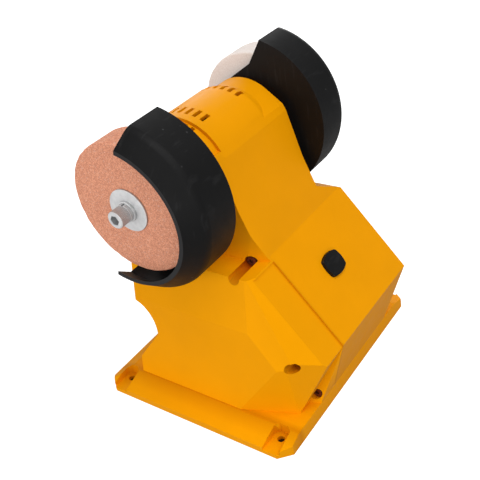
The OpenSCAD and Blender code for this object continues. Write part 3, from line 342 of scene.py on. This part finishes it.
def lathe_rings():
    """Fine rings round the wheel axis, as left by a lathe or a press."""
    graph, given, result = new_group("lathe_rings", [("Scale", 9000.0)], ["Rings", "Stain"])
    place = graph.place()
    off = graph.add("ShaderNodeVectorMath", operation="SUBTRACT")
    graph.put(off.inputs[0], place)
    off.inputs[1].default_value = AXIS
    flat = graph.add("ShaderNodeVectorMath", operation="MULTIPLY")
    graph.put(flat.inputs[0], off.outputs["Vector"])
    flat.inputs[1].default_value = (0.0, 1.0, 1.0)
    reach = graph.add("ShaderNodeVectorMath", operation="LENGTH")
    graph.put(reach.inputs[0], flat.outputs["Vector"])
    rings = graph.add(
        "ShaderNodeTexNoise", {"Scale": 1.0, "Detail": 3.0, "Roughness": 0.7}, noise_dimensions="1D")
    graph.put(rings.inputs["W"], graph.math("MULTIPLY", reach.outputs["Value"], given.outputs["Scale"]))
    graph.put(result.inputs["Rings"], rings.outputs["Fac"])
    graph.put(result.inputs["Stain"], graph.noise(place, 260.0, 4.0, 0.6))
    return graph.tree


GROUP_MAKERS = {
    "moulded_skin": moulded_skin, "dust_specks": dust_specks, "bonded_grit": bonded_grit,
    "lathe_rings": lathe_rings}


def group_node(graph, name, **values):
    """Places a shared effect in a material, with its own values."""
    tree = bpy.data.node_groups.get(name) or GROUP_MAKERS[name]()
    node = graph.tree.nodes.new("ShaderNodeGroup")
    node.node_tree = tree
    for label, value in values.items():
        node.inputs[label].default_value = value
    return node.outputs


def tint(rgb, factor):
    """A colour made lighter or darker, with alpha."""
    return tuple(min(1.0, part * factor) for part in rgb) + (1.0,)


def toned(rgb, shares):
    """A colour with its red, green and blue turned down one by one, with alpha."""
    return tuple(part * share for part, share in zip(rgb, shares)) + (1.0,)


def new_material(name, **constants):
    """A material with one Principled shader, its fixed numbers set on the shader's own sockets."""
    material = bpy.data.materials.new(name)
    material.use_nodes = True
    tree = material.node_tree
    shader = tree.nodes["Principled BSDF"]
    for label, value in constants.items():
        shader.inputs[label.replace("_", " ")].default_value = value
    return material, Graph(tree), shader.inputs


def bumped(graph, sockets, height, strength, depth):
    """Lets a height roughen the surface."""
    bump = graph.add("ShaderNodeBump", {"Height": height, "Strength": strength, "Distance": depth})
    graph.put(sockets["Normal"], bump.outputs["Normal"])


def parting_line_shade(graph):
    """Painted shadow along the parting line: how near a place between the base and the neck is to where the two
    housings part.
    """
    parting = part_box("left_housing")[1].x
    apart = graph.apart(graph.place())
    off = graph.math("ABSOLUTE", graph.math("SUBTRACT", apart["X"], parting))
    above = graph.math("GREATER_THAN", apart["Z"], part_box("base_plate")[1].z + 0.3 * MM)
    below = graph.span(apart["Z"], *SEAM_END, 1.0, 0.0)
    line = graph.span(off, *SEAM_WIDTH, SEAM_SHADE, 0.0)
    return graph.math("MULTIPLY", graph.math("MULTIPLY", above, below), line)


def foot_shade(graph):
    """Shade on the base's near top where the body's foot stands."""
    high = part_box("base_plate")[1].z
    apart = graph.apart(graph.place())
    under = graph.math("LESS_THAN", apart["Z"], high + 0.05 * MM)
    near = graph.math("MULTIPLY", under, graph.span(apart["X"], *FOOT_IN))
    return graph.math("MULTIPLY", near, graph.span(apart["X"], *FOOT_OUT, FOOT_SHADE, 0.0))


def plastic(
        name, rgb, rough, scale, depth, dust=0.0, rim=1.0, tone=0.05, sheen=WHITE, ior=1.45, seam=False):
    """Moulded plastic: grain, slow tone changes, dust, a painted highlight on rounded edges, and painted shade in
    the screw wells, at the parting line and beside the body's foot.
    """
    material, graph, sockets = new_material(name, Specular_IOR_Level=0.22, Specular_Tint=sheen, IOR=ior)
    skin = group_node(graph, "moulded_skin", Scale=scale)
    base = graph.mix(graph.span(skin["Tone"], 0.3, 0.7), tint(rgb, 1.0 - tone), tint(rgb, 1.0 + tone))
    # Painted highlight on rounded edges: their faces turn lighter by the given factor
    base = graph.mix(graph.math("MULTIPLY", graph.mark("rim"), EDGE_HIGHLIGHT_SHARE), base, tint(rgb, rim))
    # Painted shade inside the screw wells, darker at the bottom than at the mouth
    base = graph.mix(graph.mark("deep"), base, toned(rgb, WELL_SHADE_TONE))
    if seam:
        # Painted shadow in the gap where the two housings part
        base = graph.mix(parting_line_shade(graph), base, toned(rgb, SEAM_SHADE_TONE))
        base = graph.mix(foot_shade(graph), base, toned(rgb, FOOT_TONE))
    shine = graph.span(skin["Shine"], 0.25, 0.75, rough - 0.06, rough + 0.07)
    if dust:
        marks = group_node(graph, "dust_specks", Scale=230.0, Amount=dust)
        base = graph.mix(graph.math("MULTIPLY", marks["Specks"], 0.55), base, DUST)
        base = graph.mix(graph.math("MULTIPLY", marks["Rubs"], 0.07), base, DUST)
    graph.put(sockets["Base Color"], base)
    graph.put(sockets["Roughness"], shine)
    bumped(graph, sockets, skin["Grain"], 0.35, depth)
    return material


def abrasive(name, rgb, spread):
    """Bonded abrasive: grains of many tones, dark pits and a few bright faces."""
    material, graph, sockets = new_material(name, Specular_IOR_Level=0.25)
    grit = group_node(graph, "bonded_grit", Scale=1.0 / sizes().grit_size)
    deep = toned(rgb, (1.0 - 0.5 * spread, 1.0 - 1.2 * spread, 1.0 - 1.3 * spread))
    base = graph.mix(graph.span(grit["Tone"], 0.25, 0.75), deep, tint(rgb, 1.0 + spread))
    base = graph.mix(graph.math("MULTIPLY", grit["Pits"], 1.6 * spread), base, toned(rgb, PIT_TONE))
    base = graph.mix(graph.math("MULTIPLY", grit["Sparkle"], spread), base, SPARKLE)
    graph.put(sockets["Base Color"], base)
    graph.put(sockets["Roughness"], graph.span(grit["Sparkle"], 0.0, 1.0, 0.9, 0.5))
    bumped(graph, sockets, grit["Height"], 0.6, 0.2 * MM)
    return material


def metal(name, rgb, rough, rings=9000.0, stain=0.12, metallic=1.0):
    """Turned or pressed metal with rings round the axis, cloudy plating and painted shade on the sides and in the
    socket.
    """
    material, graph, sockets = new_material(name, Metallic=metallic)
    marks = group_node(graph, "lathe_rings", Scale=rings)
    base = graph.mix(graph.span(marks["Stain"], 0.3, 0.7), tint(rgb, 1.0 - stain), tint(rgb, 1.0 + stain))
    # Painted shade on the sides round the shaft and down in a bolt's socket
    base = graph.mix(graph.math("MULTIPLY", graph.mark("side"), 0.85), base, tint(rgb, 0.44))
    graph.put(sockets["Base Color"], base)
    cloud = graph.span(marks["Stain"], 0.25, 0.75, rough - 0.07, rough + 0.1)
    graph.put(sockets["Roughness"], graph.math("ADD", cloud, graph.math("MULTIPLY", marks["Rings"], 0.08)))
    bumped(graph, sockets, marks["Rings"], 0.25, 0.03 * MM)
    return material


# For each of the record's slots: the kind of material, its colour or the panel's name for it, and its numbers
FINISHES = {
    "orange_plastic": (plastic, "housing", {
        "rough": 0.43, "scale": 2600.0, "depth": 0.05 * MM, "tone": 0.03, "sheen": (1.0, 0.6, 0.1, 1.0),
        "ior": 1.3, "seam": True}),
    "black_plastic": (plastic, "guard", {
        "rough": 0.5, "scale": 2200.0, "depth": 0.07 * MM, "dust": 0.16, "rim": 5.0, "tone": 0.2,
        "sheen": (0.65, 0.65, 0.65, 1.0)}),
    "dark_plastic": (plastic, (0.02, 0.02, 0.022), {
        "rough": 0.5, "scale": 1800.0, "depth": 0.08 * MM, "dust": 0.08, "rim": 1.8, "tone": 0.15}),
    "pink_abrasive": (abrasive, "pink_grit", {"spread": 0.24}),
    "white_abrasive": (abrasive, "white_grit", {"spread": 0.06}),
    "zinc_steel": (metal, "zinc", {"rough": 0.3, "metallic": 0.55}),
    "black_steel": (metal, (0.2, 0.07, 0.04), {"rough": 0.5, "rings": 6000.0}),
    "motor_steel": (metal, (0.4, 0.4, 0.42), {"rough": 0.38, "rings": 4000.0, "stain": 0.2}),
    "ferrite": (plastic, (0.05, 0.05, 0.053), {
        "rough": 0.62, "scale": 3000.0, "depth": 0.05 * MM, "tone": 0.3}),
    "brass": (metal, (0.72, 0.5, 0.2), {"rough": 0.3, "rings": 5000.0}),
    "copper": (metal, (0.62, 0.27, 0.12), {"rough": 0.34, "rings": 3800.0}),
    "board_green": (plastic, (0.012, 0.1, 0.04), {
        "rough": 0.25, "scale": 900.0, "depth": 0.04 * MM, "tone": 0.25}),
    "aluminium_parts": (metal, (0.66, 0.67, 0.69), {"rough": 0.35, "rings": 5200.0}),
    "cell_sleeve": (plastic, (0.02, 0.1, 0.25), {
        "rough": 0.28, "scale": 600.0, "depth": 0.03 * MM, "tone": 0.12}),
    "red_wire": (plastic, (0.45, 0.015, 0.012), {"rough": 0.5, "scale": 1500.0, "depth": 0.04 * MM}),
    "black_wire": (plastic, (0.012, 0.012, 0.012), {"rough": 0.5, "scale": 1500.0, "depth": 0.04 * MM})}


def finish_of(slot):
    """The material for one of the record's slots, made once."""
    name = slot + "_finish"
    made = bpy.data.materials.get(name)
    if made:
        return made
    make, rgb, numbers = FINISHES[slot]
    if isinstance(rgb, str):
        rgb = getattr(colours(), rgb)
    return make(name, rgb, **numbers)


def off_axis(co):
    """How far a point lies from the wheel axis."""
    return Vector((0.0, co.y - AXIS.y, co.z - AXIS.z)).length


def new_piece(name, shape, *nodes, smooth_angle):
    """Turns a bmesh into a piece that stands for CAD nodes and rides on their body."""
    mesh = bpy.data.meshes.new(name)
    shape.to_mesh(mesh)
    shape.free()
    mesh.shade_smooth()
    mesh.set_sharp_from_angle(angle=math.radians(smooth_angle))
    piece = bpy.data.objects.new(name, mesh)
    bpy.context.scene.collection.objects.link(piece)
    slot = SLOT_OF[nodes[0]]
    mesh.materials.append(finish_of(slot))
    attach(piece, BODY_OF[nodes[0]])
    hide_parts(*nodes)
    return piece


def round_edges(shape, edges, width, steps):
    """Rounds edges and returns the new faces."""
    if width <= 0.0 or not edges:
        return []
    made = bmesh.ops.bevel(
        shape, geom=edges, offset=width, offset_type="OFFSET", affect="EDGES", segments=steps, profile=0.5,
        material=-1, clamp_overlap=True, loop_slide=True)
    return made["faces"]


def is_corner(edge, angle):
    """Whether an edge is a real corner, not a step of a round wall; a gentle one lies between large flats."""
    bend = math.degrees(edge.calc_face_angle())
    large = min(face.calc_area() for face in edge.link_faces) > LARGE_FLAT
    return bend > angle and edge.calc_length() > SHORT_EDGE and (bend > SHARP_BEND or large)


def rounded_copy(node, width, steps, angle=SHARP_BEND, ridge=None, ridge_width=0.0, lip=None, wells=False):
    """A copy of a CAD node whose sharp edges are rounded; its flat faces stay where they are."""
    shape = bmesh.new()
    shape.from_mesh(NODES[node].data)
    bmesh.ops.remove_doubles(shape, verts=shape.verts, dist=MERGE)
    bmesh.ops.dissolve_limit(
        shape, angle_limit=math.radians(FLAT_BEND), verts=shape.verts, edges=shape.edges,
        use_dissolve_boundaries=False)
    # Rounded faces are marked for a painted highlight on the edges
    rim = shape.faces.layers.float.new("rim")
    if ridge:
        round_edges(shape, [edge for edge in shape.edges if ridge(edge)], ridge_width, RIDGE_STEPS)
    sharp = [edge for edge in shape.edges if edge.is_manifold and is_corner(edge, angle)]
    for face in round_edges(shape, sharp, width, steps):
        face[rim] = 1.0
    # The screw wells get painted shade
    if wells:
        paint_well_shade(shape)
    # Faces past the lip get the painted edge highlight too
    if lip:
        for face in shape.faces:
            if abs(face.calc_center_median().x) > lip:
                face[rim] = 1.0
    piece = new_piece(node + "_rounded", shape, node, smooth_angle=32.0)
    weighted = piece.modifiers.new("even_shading", "WEIGHTED_NORMAL")
    weighted.keep_sharp = True
    weighted.weight = 60


def screw_heads():
    """The seat of each housing screw's head along X, and its axis in Y and Z."""
    groups = []
    for vert in NODES["housing_screws"].data.vertices:
        near = [
            group for group in groups if (Vector(group[0].yz) - Vector(vert.co.yz)).length < SCREW_REACH]
        if near:
            near[0].append(vert.co)
        else:
            groups.append([vert.co])
    heads = []
    for group in groups:
        middle = [(min(co[axis] for co in group) + max(co[axis] for co in group)) / 2.0 for axis in (1, 2)]
        heads.append((max(co.x for co in group) - SCREW_HEAD_T, Vector(middle)))
    return heads


def paint_well_shade(shape):
    """Marks the inside of the screw wells for painted shade, more at the bottom than at the mouth."""
    deep = shape.loops.layers.float.new("deep")
    shape.normal_update()
    for seat, axis in screw_heads():
        for face in shape.faces:
            middle = face.calc_center_median()
            inside = (Vector(middle.yz) - axis).length < WELL_R and middle.x > seat - WELL_SLACK
            if inside and (abs(face.normal.x) < 0.5 or middle.x < seat + WELL_SLACK):
                for loop in face.loops:
                    loop[deep] = 1.0 if loop.vert.co.x < seat + WELL_BOTTOM else WELL_MOUTH_SHADE


def on_ridge(edge, reach):
    """Whether an edge runs round a guard where its drum meets its cone."""
    first, last = (vert.co for vert in edge.verts)
    level = abs(first.x - last.x) < 0.01 * MM
    outer = min(off_axis(first), off_axis(last)) > 0.99 * reach
    return level and outer and RIDGE_SPAN[0] < abs(first.x) < RIDGE_SPAN[1]


def turned(shape, profile, steps, side, sweep=WHOLE_TURN):
    """Spins an outline of (distance along X, radius) in metres round the wheel axis."""
    verts = [shape.verts.new((side * x, AXIS.y, AXIS.z + r)) for x, r in profile]
    loop = [shape.edges.new((a, b)) for a, b in zip(verts, verts[1:] + verts[:1])]
    bmesh.ops.spin(
        shape, geom=verts + loop, cent=AXIS, axis=ALONG_X, angle=math.radians(sweep), steps=steps,
        use_merge=sweep == WHOLE_TURN, use_duplicate=False)


def softened(points, cut):
    """An outline with each corner cut back by a little arc."""
    done = []
    count = len(points)
    for index, here in enumerate(points):
        here = Vector(here)
        before = Vector(points[index - 1]) - here
        after = Vector(points[(index + 1) % count]) - here
        reach = min(cut, before.length / 2.1, after.length / 2.1)
        start = here + before.normalized() * reach
        end = here + after.normalized() * reach
        for share in (0.0, 0.35, 0.65, 1.0):
            done.append(start.lerp(here, share).lerp(here.lerp(end, share), share))
    return [tuple(point) for point in done]


def finish_shape(shape):
    """Merges doubles and turns the faces outwards."""
    bmesh.ops.remove_doubles(shape, verts=shape.verts, dist=MERGE)
    bmesh.ops.recalc_face_normals(shape, faces=shape.faces)


def mark_shaded_sides(shape, socket=None):
    """Marks the faces round the shaft, and those down in a bolt's socket, for the metal's painted shade."""
    side = shape.faces.layers.float.new("side")
    for face in shape.faces:
        middle = face.calc_center_median()
        sunk = (
            socket is not None and off_axis(middle) < SOCKET_R
            and 0.0 < abs(middle.x) - socket < HEAD_LONGEST)
        face[side] = 1.0 if sunk or abs(face.normal.x) < 0.6 else 0.0


def spans(node):
    """Where a node with a solid at each end of the shaft starts and ends along +X, and its radius."""
    corners = [vert.co for vert in NODES[node].data.vertices if vert.co.x > 0.0]
    reach = max(off_axis(co) for co in corners)
    return min(co.x for co in corners), max(co.x for co in corners), reach


def grit_wheel(node):
    """A grinding wheel with a broken edge and an uneven face."""
    low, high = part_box(node)
    side = 1.0 if high.x > 0.0 else -1.0
    near, far = sorted((abs(low.x), abs(high.x)))
    reach = (high.y - low.y) / 2.0
    corners = [(near, WHEEL_BORE_R), (near, reach), (far, reach), (far, WHEEL_BORE_R)]
    outline = []
    for point in softened(corners, WHEEL_ROUND):
        point = Vector(point)
        if outline:
            run = point - outline[-1]
            for _ in range(1, int(run.length / WHEEL_STEP)):
                outline.append(outline[-1] + run.normalized() * WHEEL_STEP)
        outline.append(point)
    shape = bmesh.new()
    turned(shape, [tuple(point) for point in outline], WHEEL_STEPS, side)
    finish_shape(shape)
    shape.normal_update()
    depth = sizes().chip_depth
    for vert in shape.verts:
        out = off_axis(vert.co)
        rough = noise.noise(vert.co * 900.0) * 0.25 + noise.noise(vert.co * 380.0) * 0.2
        from_side = min(abs(abs(vert.co.x) - near), abs(abs(vert.co.x) - far))
        edge = max(0.0, 1.0 - abs(out - reach) / CHIP_HIGH) * (1.0 if from_side < CHIP_WIDE else 0.0)
        chip = max(0.0, noise.noise(vert.co * 260.0) + 0.15) * edge
        if out > WHEEL_BORE_R + 0.5 * MM:
            vert.co -= vert.normal * depth * (max(0.0, 0.25 + rough) * 0.3 + chip)
    new_piece(node + "_grit", shape, node, smooth_angle=70.0)


def plain_ring(name, node, cut, steps=72, sweep=WHOLE_TURN):
    """A washer at each end of the shaft."""
    start, end, reach = spans(node)
    corners = [(start, BOLT_HOLE_R), (start, reach), (end, reach), (end, BOLT_HOLE_R)]
    shape = bmesh.new()
    for side in BOTH_ENDS:
        turned(shape, softened(corners, cut), steps, side, sweep)
    if sweep < WHOLE_TURN:
        bmesh.ops.holes_fill(shape, edges=[edge for edge in shape.edges if edge.is_boundary], sides=0)
    finish_shape(shape)
    mark_shaded_sides(shape)
    new_piece(name, shape, node, smooth_angle=32.0)


def bolt_head(shape, side, start, end, reach, ridges):
    """A knurled cap head with a hexagon socket."""
    middle = Matrix.Translation((side * (start + end) / 2.0, AXIS.y, AXIS.z))
    verts = bmesh.ops.create_cone(
        shape, cap_ends=True, cap_tris=False, segments=ridges * 2, radius1=reach, radius2=reach,
        depth=end - start, matrix=middle @ ONTO_X)["verts"]
    faces = {face for vert in verts for face in vert.link_faces}
    top = next(
        face for face in faces
        if len(face.verts) > 4 and abs(face.calc_center_median().x - side * end) < TOUCH)
    bmesh.ops.inset_individual(shape, faces=[top], thickness=HEAD_RIM, depth=0.0)
    for vert in [vert for vert in verts if abs(vert.co.x - side * end) < TOUCH]:
        vert.co.x -= side * HEAD_CHAMFER
    bmesh.ops.inset_individual(shape, faces=[top], thickness=SOCKET_INSET, depth=0.0)
    for vert in top.verts:
        off = Vector((vert.co.y - AXIS.y, vert.co.z - AXIS.z))
        turn = math.atan2(off.y, off.x) % (math.pi / 3.0) - math.pi / 6.0
        off = off.normalized() * (SOCKET_FLAT / math.cos(turn))
        vert.co.y = AXIS.y + off.x
        vert.co.z = AXIS.z + off.y
    down = bmesh.ops.extrude_discrete_faces(shape, faces=[top])["faces"][0]
    bmesh.ops.translate(shape, verts=down.verts, vec=(-side * SOCKET_DEPTH, 0.0, 0.0))
    ring = [
        edge for edge in {edge for vert in verts for edge in vert.link_edges}
        if abs(edge.verts[0].co.x - edge.verts[1].co.x) > 2.0 * MM
        and all(off_axis(vert.co) > reach * 0.98 for vert in edge.verts)]
    ring.sort(key=lambda edge: math.atan2(edge.verts[0].co.z - AXIS.z, edge.verts[0].co.y - AXIS.y))
    for edge in ring[1::2]:
        for vert in edge.verts:
            vert.co.y += (AXIS.y - vert.co.y) * KNURL_SHARE
            vert.co.z += (AXIS.z - vert.co.z) * KNURL_SHARE


class GRINDER_OT_housings(bpy.types.Operator):
    """The two orange body mouldings and the base under them"""

    bl_idname = "grinder.housings"
    bl_label = "Housings and base"

    def execute(self, context):
        for node in ("left_housing", "right_housing", "base_plate"):
            rounded_copy(
                node, sizes().housing_round, 3, angle=GENTLE_BEND, wells=node == "right_housing")
        return {"FINISHED"}


class GRINDER_OT_guards(bpy.types.Operator):
    """The black cups behind the wheels"""

    bl_idname = "grinder.guards"
    bl_label = "Wheel guards"

    def execute(self, context):
        for node in ("left_guard", "right_guard"):
            low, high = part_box(node)
            reach = (high.z - low.z) / 2.0
            rounded_copy(
                node, sizes().guard_round, 3, ridge=lambda edge: on_ridge(edge, reach),
                ridge_width=sizes().guard_ridge, lip=max(-low.x, high.x) - LIP)
        return {"FINISHED"}


class GRINDER_OT_wheels(bpy.types.Operator):
    """The pink and the off-white grinding wheel"""

    bl_idname = "grinder.wheels"
    bl_label = "Grinding wheels"

    def execute(self, context):
        for node in ("left_wheel", "right_wheel"):
            grit_wheel(node)
        return {"FINISHED"}


class GRINDER_OT_shaft_ends(bpy.types.Operator):
    """Washers and cap bolts that clamp the wheels"""

    bl_idname = "grinder.shaft_ends"
    bl_label = "Shaft ends"

    def execute(self, context):
        plain_ring("clamp_washers_pressed", "clamp_washers", 0.3 * MM, 96)
        plain_ring("spacer_washers_pressed", "spacer_washers", 0.3 * MM)
        plain_ring("lock_washers_split", "lock_washers", 0.15 * MM, 60, SPLIT_SWEEP)
        seat = spans("lock_washers")[1]
        stop, reach = spans("wheel_bolts")[1:]
        shape = bmesh.new()
        for side in BOTH_ENDS:
            bolt_head(shape, side, seat, stop, reach, sizes().knurl_count)
            middle = Matrix.Translation((side * (seat + SHANK_SUNK - SHANK_L / 2.0), AXIS.y, AXIS.z))
            bmesh.ops.create_cone(
                shape, cap_ends=True, segments=40, radius1=SHANK_R, radius2=SHANK_R, depth=SHANK_L,
                matrix=middle @ ONTO_X)
        bmesh.ops.recalc_face_normals(shape, faces=shape.faces)
        mark_shaded_sides(shape, seat)
        new_piece("wheel_bolts_knurled", shape, "wheel_bolts", smooth_angle=20.0)
        return {"FINISHED"}


class GRINDER_OT_buttons(bpy.types.Operator):
    """The power button, the battery pack's shell and its release button"""

    bl_idname = "grinder.buttons"
    bl_label = "Button and battery pack"

    def execute(self, context):
        trim = sizes().trim_round
        rounded_copy("power_button", 1.6 * trim, 3)
        for node in ("battery_case", "battery_lid", "release_button", "battery_cradle", "terminal_block"):
            rounded_copy(node, trim, 2)
        return {"FINISHED"}


class GRINDER_OT_screws(bpy.types.Operator):
    """Screws of the housings, guards, base and cradle"""

    bl_idname = "grinder.screws"
    bl_label = "Screws"

    def execute(self, context):
        for node in ("housing_screws", "guard_screws", "base_screws", "cradle_screws"):
            rounded_copy(node, 0.5 * sizes().trim_round, 2)
        return {"FINISHED"}


class GRINDER_OT_inner_pieces(bpy.types.Operator):
    """Finishes for the motor, boards, cells and leads inside"""

    bl_idname = "grinder.inner_pieces"
    bl_label = "Motor and electronics"

    def execute(self, context):
        for node, piece in NODES.items():
            if piece.hide_render:
                continue
            piece.data.materials.clear()
            piece.data.materials.append(finish_of(SLOT_OF[node]))
        return {"FINISHED"}


class GRINDER_OT_stage(bpy.types.Operator):
    """Pale floor, soft studio light and the camera at the photographed angle"""

    bl_idname = "grinder.stage"
    bl_label = "Stage"

    def execute(self, context):
        scene = context.scene
        self.floor(scene)
        self.lights(scene)
        self.camera(scene)
        scene.view_settings.view_transform = "Standard"
        return {"FINISHED"}

    def floor(self, scene):
        """Pale paper that looks white to the camera, with painted shade under the base."""
        shape = bmesh.new()
        bmesh.ops.create_grid(shape, x_segments=2, y_segments=2, size=FLOOR_HALF)
        bmesh.ops.translate(shape, verts=shape.verts, vec=(0.0, 0.0, -FLOOR_DROP))
        mesh = bpy.data.meshes.new("floor")
        shape.to_mesh(mesh)
        shape.free()
        floor = bpy.data.objects.new("floor", mesh)
        scene.collection.objects.link(floor)
        material, graph, sockets = new_material(
            "floor_paper", Roughness=0.9, Specular_IOR_Level=0.1, Emission_Color=WHITE)
        place = graph.place()
        grain = graph.noise(place, 8.0)
        apart = graph.apart(place)
        under = graph.math(
            "MULTIPLY", graph.math("LESS_THAN", graph.math("ABSOLUTE", apart["X"]), UNDER_HALF[0]),
            graph.math("LESS_THAN", graph.math("ABSOLUTE", apart["Y"]), UNDER_HALF[1]))
        paper = graph.mix(grain, *PAPER_TONES)
        # Painted shade on the floor under the base, seen through the corner holes
        graph.put(sockets["Base Color"], graph.mix(under, paper, UNDER_BASE_SHADE))
        seen = graph.add("ShaderNodeLightPath").outputs["Is Camera Ray"]
        open_floor = graph.math("MULTIPLY", seen, graph.math("SUBTRACT", 1.0, under))
        graph.put(sockets["Emission Strength"], graph.math("MULTIPLY", open_floor, FLOOR_GLOW))
        mesh.materials.append(material)

    def lights(self, scene):
        """An even world and four soft lamps."""
        world = bpy.data.worlds.new("studio")
        world.use_nodes = True
        sky = world.node_tree.nodes["Background"].inputs
        sky["Color"].default_value = WHITE
        graph = Graph(world.node_tree)
        seen = graph.add("ShaderNodeLightPath").outputs["Is Camera Ray"]
        graph.put(sky["Strength"], graph.span(seen, 0.0, 1.0, WORLD_LIGHT, WORLD_SEEN))
        scene.world = world
        for name, place, size, power in LIGHTS:
            lamp = bpy.data.lights.new(name, "AREA")
            lamp.shape = "DISK"
            lamp.size = size
            lamp.energy = power
            holder = bpy.data.objects.new(name, lamp)
            holder.location = place
            holder.rotation_euler = (LIGHT_AIM - holder.location).to_track_quat("-Z", "Y").to_euler()
            scene.collection.objects.link(holder)

    def camera(self, scene):
        """The camera that was fitted to the photo."""
        lens = bpy.data.cameras.new("photo_camera")
        lens.sensor_width = SENSOR
        lens.lens = LENS
        lens.clip_start = CLIP[0]
        lens.clip_end = CLIP[1]
        camera = bpy.data.objects.new("photo_camera", lens)
        up = CAMERA_RIGHT.cross(CAMERA_AHEAD).normalized()
        turn = Matrix((CAMERA_RIGHT, up, -CAMERA_AHEAD)).transposed().to_4x4()
        camera.matrix_world = Matrix.Translation(CAMERA_AT) @ turn
        scene.collection.objects.link(camera)
        scene.camera = camera


OPERATORS = (
    GRINDER_OT_housings, GRINDER_OT_guards, GRINDER_OT_wheels, GRINDER_OT_shaft_ends, GRINDER_OT_buttons,
    GRINDER_OT_screws, GRINDER_OT_inner_pieces, GRINDER_OT_stage)


class GRINDER_PT_sidebar(bpy.types.Panel):
    """Sizes, colours and pieces of the grinder"""

    bl_idname = "GRINDER_PT_sidebar"
    bl_label = "Bench grinder"
    bl_space_type = "VIEW_3D"
    bl_region_type = "UI"
    bl_category = "Grinder"

    def draw(self, context):
        for group in (context.scene.grinder_sizes, context.scene.grinder_colours):
            for name in group.__annotations__:
                self.layout.prop(group, name)
        for operator in OPERATORS:
            self.layout.operator(operator.bl_idname)


CLASSES = (GrinderSizes, GrinderColours) + OPERATORS + (GRINDER_PT_sidebar,)


def register():
    for kind in CLASSES:
        bpy.utils.register_class(kind)
    bpy.types.Scene.grinder_sizes = PointerProperty(type=GrinderSizes)
    bpy.types.Scene.grinder_colours = PointerProperty(type=GrinderColours)


def unregister():
    del bpy.types.Scene.grinder_colours
    del bpy.types.Scene.grinder_sizes
    for kind in reversed(CLASSES):
        bpy.utils.unregister_class(kind)


def main():
    register()
    for operator in OPERATORS:
        group, name = operator.bl_idname.split(".")
        getattr(getattr(bpy.ops, group), name)()


if __name__ == "__main__":
    main()
